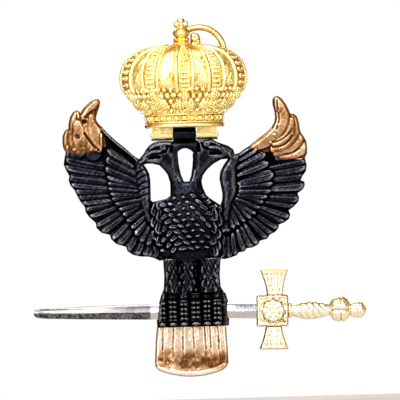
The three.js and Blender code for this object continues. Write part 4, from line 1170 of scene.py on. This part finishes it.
def fleuron(name, centre, half):
    """A three-lobed leaf that grows from the band, veined, with a pearl on its waist."""
    along, across, low, high = strap_grid(LEAF_FOOT, LEAF_TOP, 110, -1, 1, 75)
    span = high - low
    y = along - low
    s = y / span
    widest = np.radians(half * 1.30) * LEAF_RADIUS
    shape = np.interp(s, [0, 0.12, 0.22, 0.34, 0.46, 0.56, 0.64, 0.72, 0.86, 0.95, 1.0],
                      [0.45, 0.38, 0.62, 0.95, 1.0, 0.88, 0.55, 0.50, 0.46, 0.30, 0.05])
    x = across * (widest * shape)
    leaf = 0.30 + 0.35 * np.sqrt(np.clip(1 - across ** 2, 0, 1))
    lobes = 0.35 * bump_at(np.abs(x), y, widest * 0.60, span * 0.42, widest * 0.42, span * 0.19)
    top = 0.55 * bump_at(x, y, 0, span * 0.80, widest * 0.42, span * 0.19)
    waist = 0.62 * bump_at(x, y, 0, span * 0.20, 0.62, 0.55)
    heart = 0.48 * bump_at(x, y, 0, span * 0.46, widest * 0.34, span * 0.17)
    height = leaf + np.maximum.reduce([lobes, top, waist, heart])
    veins = np.exp(-((np.abs(x) - 0.28 * np.abs(y - span * 0.25)) / 0.14) ** 2)
    height -= 0.20 * veins * (s > 0.25)
    height += 0.13 * np.abs(np.cos(y / 0.52 * math.pi + np.abs(x) * 1.6)) ** 0.6 * np.abs(across) ** 0.5
    pitch = 0.8
    column = np.floor(x / pitch)
    grain_x = x - (column + 0.5) * pitch
    grain_y = np.mod(y + pitch / 2 * np.mod(column, 2), pitch) - pitch / 2
    height += 0.24 * bump_at(grain_x, grain_y, 0, 0, 0.34, 0.34) * (np.abs(across) < 0.82)
    height += 0.10 * wobble(x, y, 0.34, centre + 1)
    edge = np.clip((1 - np.abs(across)) / 0.05, 0, 1)
    ends = np.clip(np.minimum(s, 1 - s) / 0.03, 0, 1)
    height = tucked(height, np.minimum(edge, ends)) + 0.05 * wobble(x, y, 0.8, centre)
    degrees = np.clip(centre + np.degrees(x / radius_at(along)), -DOME_EDGE, DOME_EDGE)
    dome_piece("fleuron_%s_leaf" % name, degrees, along, height, "fleuron_" + name)


def crown_band():
    """The headband: a rolled edge above and below a row of square stones and oval pearls."""
    along, degrees, low, high = strap_grid(BAND_FOOT, BAND_TOP, 40, -89.7, 89.7, 520)
    y = along - low
    span = high - low
    round_mm = np.radians(degrees) * BAND_RADIUS
    pitch = 1.9
    cell = np.floor(round_mm / pitch + 0.5)
    local = round_mm - cell * pitch
    square = 0.62 * gem_at(local, y, 0, span / 2, 0.72, 0.72)
    oval = 0.62 * bump_at(local, y, 0, span / 2, 0.62, 0.72)
    small = [0.42 * bump_at(np.abs(local), y, pitch / 2, span * up, 0.24, 0.28) for up in (0.32, 0.68)]
    field = 0.14 + np.maximum.reduce([np.where(cell % 2 == 0, square, oval), *small])
    rolls = 0.25 + 0.42 * np.maximum(bump_at(0, y, 0, span - 0.26, 1, 0.26), bump_at(0, y, 0, 0.26, 1, 0.26))
    height = np.where((y > span - 0.52) | (y < 0.52), rolls, field)
    edge = np.clip(np.minimum(y, span - y) / 0.08, 0, 1)
    height = tucked(height, edge) + 0.03 * wobble(round_mm, y, 1.0, 2.0)
    dome_piece("crown_band_stones", degrees, along, height, "crown_band")


def crown_rim():
    """The smooth rolled foot of the crown."""
    low, high = node_box("crown_rim")
    half = (high[0] - low[0]) / 2
    depth = high[1] - low[1]
    middle_x = (high[0] + low[0]) / 2
    rings = []
    for angle in full_turn(22):
        inset = 0.55 * (1 - math.cos(angle))
        z = (low[2] + high[2]) / 2 + (high[2] - low[2]) / 2 * math.sin(angle)
        line = []
        for turn in np.linspace(-math.pi / 2, math.pi / 2, 121):
            line.append((middle_x + (half - inset) * math.sin(turn), -(depth - inset) * math.cos(turn), z))
        rings.append(line)
    rings = np.array(rings).transpose(1, 0, 2)
    add_loft("crown_rim_roll", rings, "crown", "crown_gold", "crown_rim", sharp=50)


def finial_turning(name, node, profile, steps, ripple, cavity):
    """A turned part of the finial, from (z, radius) points; ripple(angle, z) adds to the radius."""
    x, y = node_middle("finial_orb")[:2]
    rings = []
    for z, radius in profile:
        ring = []
        for angle in full_turn(steps):
            reach = radius + ripple(angle, z)
            ring.append((x + reach * math.cos(angle), y + reach * math.sin(angle), z))
        rings.append(ring)
    add_loft(name, rings, "crown", "crown_gold", node, cavity, sharp=60)


def finial_collar():
    """The finial's foot, with two rings of beads."""
    def beads(angle, z):
        ring = math.exp(-((z - 88.75) / 0.34) ** 2) + math.exp(-((z - 89.85) / 0.3) ** 2)
        return 0.2 * ring * abs(math.sin(angle * 7)) ** 0.6 - 0.12 * ring

    collar = spline([(87.4, 2.1), (88.1, 2.2), (88.4, 1.95), (88.75, 2.3), (89.1, 2.05), (89.35, 1.8),
                     (89.6, 2.0), (89.85, 2.2), (90.1, 2.1), (90.35, 1.85)], 60)
    finial_turning("finial_collar_beaded", "finial_collar", collar, 112, beads, 0.56)


def finial_orb():
    """The orb, with a belt and an upright band over its upper half."""
    def belt(angle, z):
        middle = math.exp(-((z - 91.35) / 0.24) ** 2) * 0.13
        upright = math.exp(-(math.sin(angle) / 0.16) ** 2) * 0.12 * (1 if z > 91.4 else 0)
        return middle + upright

    orb = [(91.6 + 1.45 * math.sin(t), 2.12 * math.cos(t) ** 0.8) for t in np.linspace(-1.45, 1.45, 60)]
    finial_turning("finial_orb_belted", "finial_orb", orb, 96, belt, 0.53)


def finial_cross():
    """The cross on the orb: four rounded arms and a boss."""
    x, y = node_middle("finial_orb")[:2]

    def cross(px, pz, _):
        c = Canvas(px, pz, 0.45)
        c.mound((x - 1.25, 94.05), (0.85, 0.72), 0.55, 0.62)
        c.mound((x + 1.25, 94.05), (0.85, 0.72), 0.55, 0.62)
        c.mound((x - 0.15, 95.0), (0.85, 0.62), 0.55, 0.62)
        c.mound((x, 93.3), (0.7, 0.5), 0.5, 0.5)
        c.mound((x, 94.05), (0.62, 0.62), 0.75, 0.55)
        return c.h

    outline = [
        (1.3, 92.8), (1.2, 93.15), (1.5, 93.2), (1.8, 93.35), (1.88, 93.8), (1.88, 94.35), (1.7, 94.75),
        (1.2, 94.85), (0.95, 94.9), (0.98, 95.2), (0.7, 95.45), (0.1, 95.5),
    ]
    mirrored = [(-px, pz) for px, pz in outline[::-1]]
    outline = resample(np.array([(x + px, pz) for px, pz in outline + mirrored]), 0.3)
    outline = smooth_outline(outline, 2)
    relief("finial_cross_front", outline, cross, "crown", "crown_gold", "finial_cross", 0.09, 0.25, 0.25,
           back=y + 0.348)


def lug():
    """The knobbly boss beside the finial that carries the hanging eye."""
    def paint(px, pz, _):
        c = Canvas(px, pz, 0.9)
        c.mound((3.4, 90.4), (1.35, 1.2), 1.0, 1.0)
        c.mound((3.2, 88.5), (1.3, 0.8), 0.9, 0.8)
        c.mound((4.3, 89.3), (0.7, 0.7), 0.9, 0.7)
        c.dent((3.5, 90.5), 0.35, 0.5)
        return c.h + 0.08 * wobble(px, pz, 0.7, 1.0)

    outline = np.array([(2.25, 88.2), (4.7, 87.6), (5.0, 88.6), (4.85, 90.7), (4.3, 91.5), (2.9, 91.8),
                        (2.3, 91.2)])
    outline = smooth_outline(resample(outline, 0.5), 2)
    relief("lug_boss_cast", outline, paint, "crown", "crown_gold", "lug_boss", 0.1, 0.35, 0.5, back=-0.1)


SEAM_DEGREES = 56            # where the ring's ends meet, measured up from its right side
SEAM_GAP_DEGREES = 0.35


def jump_ring():
    """Round wire bent to a circle, its ends meeting at a fine seam, with painted shade on its inner and
    outer sides.
    """
    low, high = node_box("jump_ring")
    wire = (high[1] - low[1]) / 2 + 0.03
    centre = (low + high) / 2
    reach = (high[2] - low[2]) / 2 - wire + 0.02
    gap = math.radians(SEAM_GAP_DEGREES)
    rings = []
    for t in np.concatenate([[0, 0.0015, 0.004], np.linspace(0.01, 0.99, 180), [0.996, 0.9985, 1.0]]):
        angle = math.radians(SEAM_DEGREES) + gap + (2 * math.pi - 2 * gap) * t
        thick = wire * (1 - 0.18 * math.exp(-min(t, 1 - t) / 0.0012))
        ring = []
        for turn in full_turn(28):
            r = reach + thick * math.cos(turn)
            ring.append((centre[0] + r * math.cos(angle), centre[1] + thick * math.sin(turn),
                         centre[2] + r * math.sin(angle)))
        rings.append(ring)
    # painted shade: the cavity rises on the wire's inner and outer sides
    side_shade = np.tile(0.5 + 0.3 * np.abs(np.cos(full_turn(28))) ** 3, len(rings))
    add_loft("jump_ring_wire", rings, "ring", "crown_gold", "jump_ring", side_shade, sharp=60)


# ---- hinge -----------------------------------------------------------------------------------------
def rounded_bar(outline, low, high, soft, arch=0.0):
    """Rings of a prism along x with softened ends, from (y, z) points; arch drops its foot at the ends."""
    outline = np.asarray(outline, float)
    middle = outline.mean(0)
    foot = outline[:, 1] < outline[:, 1].min() + 0.1
    inner = np.linspace(low + soft, high - soft, 21)
    places = [low, low + soft * 0.3, *inner, high - soft * 0.3, high]
    shrinks = [soft, soft * 0.3] + [0.0] * len(inner) + [soft * 0.3, soft]
    rings = []
    for place, shrink in zip(places, shrinks):
        away = outline - middle
        ring = middle + away * (1 - shrink / np.linalg.norm(away, axis=1, keepdims=True))
        ring[foot, 1] -= arch * ((2 * place - low - high) / (high - low)) ** 2
        rings.append([(place, y, z) for y, z in ring])
    return rings


PIN_Y, PIN_Z = (float(v) for v in node_middle("hinge_pin")[1:])
TAB_PROUD = 0.2              # how far the tabs' radius stands past their CAD solids'
TAB_WAIST = 0.86             # a step across a tab's front goes in to this part of its radius
KNUCKLE_RADIUS = 1.7


def hinge_arc(radius, start, end, steps):
    """(y, z) points on an arc about the hinge's axis."""
    return [(PIN_Y + radius * math.cos(a), PIN_Z + radius * math.sin(a))
            for a in np.linspace(start, end, steps)]


def hinge_tab(node):
    """A gold tab: a barrel round the pin that runs up into the crown's foot."""
    low, high = node_box(node)
    radius = (high[1] - low[1]) / 2 + TAB_PROUD
    outline = hinge_arc(radius, math.pi, 2 * math.pi, 33)
    outline += [(PIN_Y + radius, z) for z in np.linspace(PIN_Z + 0.25, high[2] + 0.3, 8)]
    outline += [(PIN_Y - radius * (TAB_WAIST if 0.35 < z - PIN_Z < 0.85 else 1.0), z)
                for z in np.linspace(high[2] + 0.3, PIN_Z + 0.25, 14)]
    add_loft(node + "_barrel", rounded_bar(outline, low[0], high[0], 0.12), "crown", "crown_gold", node,
             sharp=35)


def hinge_pin():
    """The pin, with peened ends."""
    low, high = node_box("hinge_pin")
    ends = [(0.0, 0.25), (0.08, 0.5), (0.2, 0.6)]
    profile = [(low[0] + inset, r) for inset, r in ends] + [(high[0] - inset, r) for inset, r in ends[::-1]]
    rings = [[(x, PIN_Y + r * math.cos(a), PIN_Z + r * math.sin(a)) for a in full_turn(32)]
             for x, r in profile]
    add_loft("hinge_pin_peened", rings, "crown", "crown_gold", "hinge_pin", sharp=50)


def hinge_knuckle():
    """The black knuckle between the tabs, with a hollowed foot that runs down between the heads."""
    low, high = node_box("hinge_knuckle")
    outline = hinge_arc(KNUCKLE_RADIUS, -0.2 * math.pi, 1.2 * math.pi, 56)
    outline += [(-3.5, 63.1), (-3.9, 62.7), (-4.4, 62.3), (-4.6, 61.9), (-4.5, 60.9), (-0.35, 60.9),
                (-0.35, 63.0)]
    rings = rounded_bar(outline, low[0] - 0.04, high[0] + 0.04, 0.14, arch=2.3)
    add_loft("hinge_knuckle_barrel", rings, "eagle", "black_finish", "hinge_knuckle", sharp=35)


def hinge_web():
    """A small gold web on the crown that closes the gap above the knuckle, its high cavity painting it dark
    as shade under the rim.
    """
    outline = [(-0.35, 65.95), (-0.35, 66.8), (-1.1, 66.8), (-1.1, 66.1), (-0.95, 65.95)]
    add_loft("hinge_web", rounded_bar(outline, -3.1, 3.1, 0.1), "crown", "crown_gold", cavity=0.8, sharp=35)


def hinge():
    hinge_tab("hinge_tab_left")
    hinge_tab("hinge_tab_right")
    hinge_pin()
    hinge_knuckle()
    hinge_web()


# ---- sword -----------------------------------------------------------------------------------------
SWORD_Y = float(node_middle("sword_blade")[1])
TILT = -0.0165               # the sword's axis drops this much for each millimetre to the right


def sword_z(x):
    return 17.35 + TILT * x


# [x, top, bottom, ridge] of the blade, from its point to the guard
BLADE_SECTIONS = np.array([
    [-41.4, 18.7, 17.55, 18.2], [-41.25, 18.9, 17.25, 18.15], [-40.9, 19.05, 16.98, 18.1],
    [-40.2, 19.15, 16.75, 18.05], [-38.2, 19.25, 16.5, 17.95], [-30.0, 19.4, 16.15, 17.75],
    [-20.0, 19.58, 15.8, 17.6], [-10.0, 19.58, 15.5, 17.45], [10.4, 19.55, 15.32, 17.2],
    [17.9, 19.35, 15.05, 17.1],
])
BLADE_HALF, BLADE_EDGE = 0.98, 0.1     # half its thickness at the ridge and at the edges


def blade():
    """Two ground bevels a side, meeting in a ridge, drawn in slightly towards the edges."""
    rings = []
    for x in np.linspace(BLADE_SECTIONS[0, 0], BLADE_SECTIONS[-1, 0], 260):
        top, low, ridge = (np.interp(x, BLADE_SECTIONS[:, 0], BLADE_SECTIONS[:, i]) for i in (1, 2, 3))
        taper = np.interp(x, [-41.4, -40, -37, -30], [0.3, 0.6, 0.85, 1.0])
        half, edge = BLADE_HALF * taper, BLADE_EDGE * taper
        section = [(top, edge), (top - 0.10, edge + 0.10 * half), (top - 0.45, 0.42 * half),
                   ((top + ridge) / 2, 0.76 * half), (ridge + 0.14, 0.965 * half), (ridge, half),
                   (ridge - 0.10, 0.955 * half), ((low + ridge) / 2, 0.72 * half), (low + 0.35, 0.36 * half),
                   (low + 0.08, edge + 0.06 * half), (low, edge)]
        wave = 0.02 * math.sin(x * 2.1) + 0.015 * math.sin(x * 4.7 + 1)
        front = [(x, SWORD_Y - d * (1 + wave * 0.3), z) for z, d in section]
        rear = [(x, SWORD_Y + d, z) for z, d in section[::-1]]
        rings.append(front + rear)
    add_loft("sword_blade_ground", rings, "eagle", "blade_steel", "sword_blade", sharp=14)


# (place, radii) of the leaves cast round the rosette
GUARD_LEAVES = (
    ((20.0, 19.6), (0.8, 0.7)), ((21.6, 20.1), (0.6, 0.5)), ((23.4, 20.1), (0.6, 0.5)),
    ((25.0, 19.4), (0.6, 0.8)), ((25.4, 17.4), (0.5, 0.7)), ((19.4, 17.4), (0.5, 0.8)),
    ((19.4, 15.2), (0.5, 0.7)), ((25.4, 15.4), (0.5, 0.7)), ((20.6, 13.7), (0.7, 0.5)),
    ((22.4, 13.6), (0.7, 0.5)), ((24.2, 13.7), (0.7, 0.5)),
)


def cast_outline(outline, amount):
    """An outline with its corners softened, and a little larger."""
    return swell(smooth_outline(resample(outline, 0.4), 1), amount)


def guard_block():
    """The guard's block, with a raised border, a lip at the blade and cast leaf work."""
    low, high = node_box("guard_block")
    thick = high[1] - low[1]
    outline = np.array([(low[0], low[2] + 0.1), (high[0] - 0.15, low[2]), (high[0], high[2] - 0.4),
                        (high[0] - 0.4, high[2]), (low[0] + 0.4, high[2]), (low[0] + 0.15, high[2] - 0.5)])

    def block(px, pz, _):
        c = Canvas(px, pz, thick - 0.55)
        edge = edge_distance(outline, following_corners(outline), px, pz)
        c.h += 0.35 * np.exp(-((edge - 0.42) / 0.26) ** 2)
        lip = thick - 0.75 + 0.45 * np.sqrt(np.clip(1 - ((px - 18.3) / 0.45) ** 2, 0, 1))
        c.h = np.where(px < 18.75, lip, c.h)
        for centre, radii in GUARD_LEAVES:
            c.mound(centre, radii, thick - 0.6, 0.5)
        c.groove([(20.2, 15.1), (21.6, 14.9), (23.4, 14.9), (24.6, 14.7), (25.1, 14.2)], 0.3, 0.7)
        c.groove([(20.1, 19.0), (20.6, 18.2), (20.2, 17.6)], 0.2, 0.5)
        c.groove([(23.8, 18.6), (24.6, 19.2), (25.2, 19.6)], 0.18, 0.4)
        return c.h + 0.03 * wobble(px, pz, 0.8, 2.0)

    relief("guard_block_cast", cast_outline(outline, 0.1), block, "eagle", "hilt_gold", "guard_block",
           0.1, thick - 1.1, 0.5, back=high[1])


def guard_rosette():
    """Two rings of petals round a boss."""
    low, high = node_box("guard_rosette")
    cx, cz = (low[0] + high[0]) / 2, (low[2] + high[2]) / 2

    def rosette(px, pz, _):
        gap = np.hypot(px - cx, pz - cz)
        angle = np.arctan2(pz - cz, px - cx)
        petal = np.abs(np.cos(angle * 4))
        h = 0.28 + 0.52 * petal ** 0.6 * np.clip(1 - ((gap - 1.75) / 1.15) ** 2, 0, 1) ** 0.5
        inner = np.abs(np.cos(angle * 2.5 + 0.6))
        h = np.maximum(h, 0.42 + 0.4 * inner ** 0.6 * np.clip(1 - ((gap - 1.0) / 0.62) ** 2, 0, 1) ** 0.5)
        h = np.maximum(h, 0.48 + 0.42 * np.clip(1 - (gap / 0.62) ** 2, 0, 1) ** 0.5)
        return h - 0.25 * np.exp(-((px - cx) ** 2 + (pz - cz) ** 2) / 0.04)

    angle = full_turn(120)
    reach = (high[0] - low[0]) / 2 - 0.42 + 0.38 * np.abs(np.cos(4 * angle)) ** 0.6
    outline = np.column_stack([cx + reach * np.cos(angle), cz + reach * np.sin(angle)])
    relief("guard_rosette_petals", outline, rosette, "eagle", "hilt_gold", "guard_rosette",
           0.09, 0.12, 0.22, back=high[1])


def guard_arms():
    """Flared arms above and below the block, fluted along their length."""
    for node, waist, ways in (("guard_arm_upper", 21.2, 1), ("guard_arm_lower", 12.8, -1)):
        low, high = node_box(node)
        thick = high[1] - low[1]
        end = high[2] if ways > 0 else low[2]
        middle = (low[0] + high[0]) / 2

        def paint(px, pz, _):
            c = Canvas(px, pz, thick - 0.65)
            for aim, size in ((-0.78, 0.55), (-0.26, 0.7), (0.28, 0.7), (0.78, 0.55)):
                foot = (middle + aim * 1.9, waist - ways * 0.2)
                tip = (middle + aim * 3.5, end - ways * 0.9)
                c.bar([foot, tip], [size, size * 1.35], [thick - 0.6, thick - 0.5], 0.45)
            lip = [(middle - 3.6, end - ways * 0.45), (middle + 3.6, end - ways * 0.45)]
            c.bar(lip, [0.42, 0.42], [thick - 0.5, thick - 0.5], 0.45)
            for k in range(4):
                c.dent((middle - 2.3 + 1.5 * k, end - ways * 1.25), 0.24, 0.35)
            c.dent((middle - 1.0, waist + ways * 2.4), 0.25, 0.4)
            c.dent((middle + 1.2, waist + ways * 1.2), 0.2, 0.3)
            return c.h + 0.03 * wobble(px, pz, 0.8, 4.0 * ways)

        outline = cast_outline(cad_outline(node, -(low[1] + 0.3)), 0.12)
        relief(node + "_cast", outline, paint, "eagle", "hilt_gold", node, 0.1, thick - 1.2, 0.55,
               back=high[1])


def sword_turning(name, node, profile, flatten, ripple, rows, lift=0.0):
    """A turned part of the hilt about the sword's axis, from (x, radius) points.

    Its surface is worked by ripple(x, angle, radius), and flatten is its depth over its height.
    """
    rings = []
    heights = []
    for x, radius in spline(profile, rows):
        ring = []
        for angle in full_turn(96):
            extra = ripple(x, angle, radius)
            reach = radius + extra
            ring.append((x, SWORD_Y + flatten * reach * math.cos(angle),
                         sword_z(x) + lift + reach * math.sin(angle)))
            heights.append(extra)
        rings.append(ring)
    points, faces = loft(rings)
    sides = [f for f in faces if len(f) == 4]
    cavity = cavity_of(np.array(heights), sides, 8, 0.35)
    add_piece(name, points, faces, "eagle", "hilt_gold", node, cavity)


def hilt():
    """The beaded collar, the twisted grip, the lobed pommel and its button."""
    def beaded(x, angle, radius):
        return 0.10 * abs(math.sin(angle * 8)) ** 0.7 - 0.1

    sword_turning("guard_collar_beaded", "guard_collar",
                  [(26.34, 1.6), (26.5, 1.95), (26.82, 2.02), (27.15, 1.92), (27.3, 1.6)], 0.72, beaded, 26)

    def twisted(x, angle, radius):
        fade = np.clip((x - 28.2) / 0.8, 0, 1) * np.clip((36.6 - x) / 0.8, 0, 1)
        strand = abs(math.sin(x * 1.75 - angle * 2.0)) ** 0.55
        return fade * (0.30 * strand - 0.26)

    sword_turning("sword_grip_twisted", "sword_grip",
                  [(27.34, 1.5), (27.9, 1.62), (28.6, 1.8), (29.6, 2.12), (31.5, 2.36), (33.5, 2.26),
                   (35.5, 1.86), (36.6, 1.6), (37.2, 1.45)], 0.85, twisted, 200)

    def lobed(x, angle, radius):
        split = math.exp(-(math.sin(angle - 0.06) / 0.16) ** 2) * 0.55
        waist = math.exp(-((x - 40.3) / 0.22) ** 2) * 0.4
        ring = 0.10 * math.sin((x - 38) * 3.6) * math.exp(-((x - 38.6) / 0.8) ** 2)
        return -max(split, waist) * np.clip(radius / 3.0, 0, 1) + ring

    sword_turning("pommel_lobed", "pommel",
                  [(37.24, 1.5), (37.6, 1.85), (37.9, 2.35), (38.6, 2.95), (39.4, 3.25), (40.3, 3.33),
                   (41.2, 3.15), (42.0, 2.6), (42.45, 2.15), (42.8, 1.6)], 0.72, lobed, 110, lift=0.25)

    def capped(x, angle, radius):
        return 0.07 * math.sin((x - 42.8) * 2.6) - 0.05 - 0.10 * math.exp(-((x - 45.4) / 0.14) ** 2)

    sword_turning("pommel_button_cap", "pommel_button",
                  [(42.84, 1.45), (43.1, 1.7), (43.6, 1.9), (44.4, 2.18), (45.4, 2.14), (46.2, 1.75),
                   (46.8, 1.15), (47.1, 0.45)], 0.8, capped, 70)


# ---- light and stage ---------------------------------------------------------------------------------
FLOOR_GAP = 0.012            # from the jewel's lowest point to the floor, in metres
FLOOR_SIDE, FLOOR_FRONT, FLOOR_BACK = 0.6, -0.8, 0.13      # how far the floor reaches, in metres
LIGHT_AIM = (3.0, -4.0, 47.0)     # what every light points at, in drawing millimetres
COOL = (0.95, 0.97, 1.0)     # a slightly blue white


def make_stage():
    """A pale floor a little below the jewel."""
    z = CAD_BOX[0][2] - FLOOR_GAP
    corners = [(-FLOOR_SIDE, FLOOR_FRONT, z), (FLOOR_SIDE, FLOOR_FRONT, z), (FLOOR_SIDE, FLOOR_BACK, z),
               (-FLOOR_SIDE, FLOOR_BACK, z)]
    mesh = bpy.data.meshes.new("stage")
    mesh.from_pydata(corners, [], [(0, 1, 2, 3)])
    n = Nodes("stage_white")
    tone = n.ramp(n.noise(6, 2, 0.5), [(0.3, (0.70, 0.70, 0.70)), (0.7, (0.73, 0.73, 0.73))])
    n.feed(n.shader.inputs["Base Color"], tone)
    n.feed(n.shader.inputs["Roughness"], 0.9)
    n.feed(n.shader.inputs["Specular IOR Level"], 0.1)
    mesh.materials.append(n.material)
    stage = add_object("stage", mesh)


def make_world():
    """A sky that grades from front to back, with a warm glow between, and looks white to the camera."""
    world = bpy.data.worlds.new("studio")
    bpy.context.scene.world = world
    world.use_nodes = True
    nodes, link = world.node_tree.nodes, world.node_tree.links.new
    way = nodes.new("ShaderNodeTexCoord")
    split = nodes.new("ShaderNodeSeparateXYZ")
    grade = nodes.new("ShaderNodeMapRange")
    grade.inputs["From Min"].default_value = -1.0
    sky = nodes.new("ShaderNodeValToRGB")
    fill_ramp(sky, [(0.0, (0.38, 0.385, 0.40)), (0.28, (0.30, 0.27, 0.22)), (0.46, (0.58, 0.40, 0.16)),
                    (0.58, (0.64, 0.38, 0.11)), (0.80, (0.10, 0.07, 0.04))])
    pale = nodes.new("ShaderNodeBackground")
    pale.inputs["Color"].default_value = (1, 1, 1, 1)
    seen = nodes.new("ShaderNodeLightPath")
    choose = nodes.new("ShaderNodeMixShader")
    link(way.outputs["Generated"], split.inputs["Vector"])
    link(split.outputs["Y"], grade.inputs["Value"])
    link(grade.outputs["Result"], sky.inputs["Fac"])
    link(sky.outputs["Color"], nodes["Background"].inputs["Color"])
    link(seen.outputs["Is Camera Ray"], choose.inputs[0])
    link(nodes["Background"].outputs["Background"], choose.inputs[1])
    link(pale.outputs["Background"], choose.inputs[2])
    link(choose.outputs["Shader"], nodes["World Output"].inputs["Surface"])


def softbox(name, place, size, radiance, colour=(1, 1, 1)):
    """An area light of a given brightness whatever its size; place is in metres from what it points at."""
    aim = Vector(to_frame(LIGHT_AIM))
    data = bpy.data.lights.new(name, "AREA")
    data.energy = radiance * math.pi * size[0] * size[1]
    data.color = colour
    data.shape = "RECTANGLE"
    data.size, data.size_y = size
    light = add_object(name, data)
    light.location = aim + Vector(place)
    light.rotation_euler = (-Vector(place)).to_track_quat("-Z", "Y").to_euler()


def make_lights():
    """Soft boxes round the jewel, bright strips in front of it, and a small lamp for sparkle."""
    softbox("softbox_left", (-0.36, -0.40, 0.12), (0.08, 0.42), 7.0)
    softbox("softbox_right", (0.38, -0.38, 0.08), (0.08, 0.40), 5.0)
    softbox("softbox_top", (0.0, -0.20, 0.50), (0.42, 0.12), 5.0)
    softbox("strip_top", (0.02, -0.50, 0.30), (0.34, 0.11), 10.0, COOL)
    softbox("strip_left", (-0.27, -0.52, 0.05), (0.08, 0.34), 9.0, COOL)
    softbox("strip_right", (0.26, -0.52, 0.10), (0.06, 0.30), 7.0, COOL)
    softbox("sparkle_left", (-0.20, -0.40, 0.42), (0.05, 0.05), 120.0)
    softbox("softbox_back", (-0.10, 0.50, 0.34), (0.40, 0.30), 4.0)
    softbox("softbox_back_low", (0.30, 0.50, 0.02), (0.10, 0.30), 4.0)


make_camera()
build_eagle()
crown_shell()
for side_name, (centre, half) in ARCH_DEGREES.items():
    arch(side_name, centre, half)
    fleuron(side_name, centre, half)
crown_band()
crown_rim()
finial_collar()
finial_orb()
finial_cross()
lug()
jump_ring()
hinge()
blade()
guard_block()
guard_rosette()
guard_arms()
hilt()
for node in ("crown_back_plate", "hanging_eye"):
    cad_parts[node].data.materials.clear()
    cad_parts[node].data.materials.append(FINISHES["satin_gold"])
make_stage()
make_world()
make_lights()
bpy.context.scene.view_settings.view_transform = "Standard"
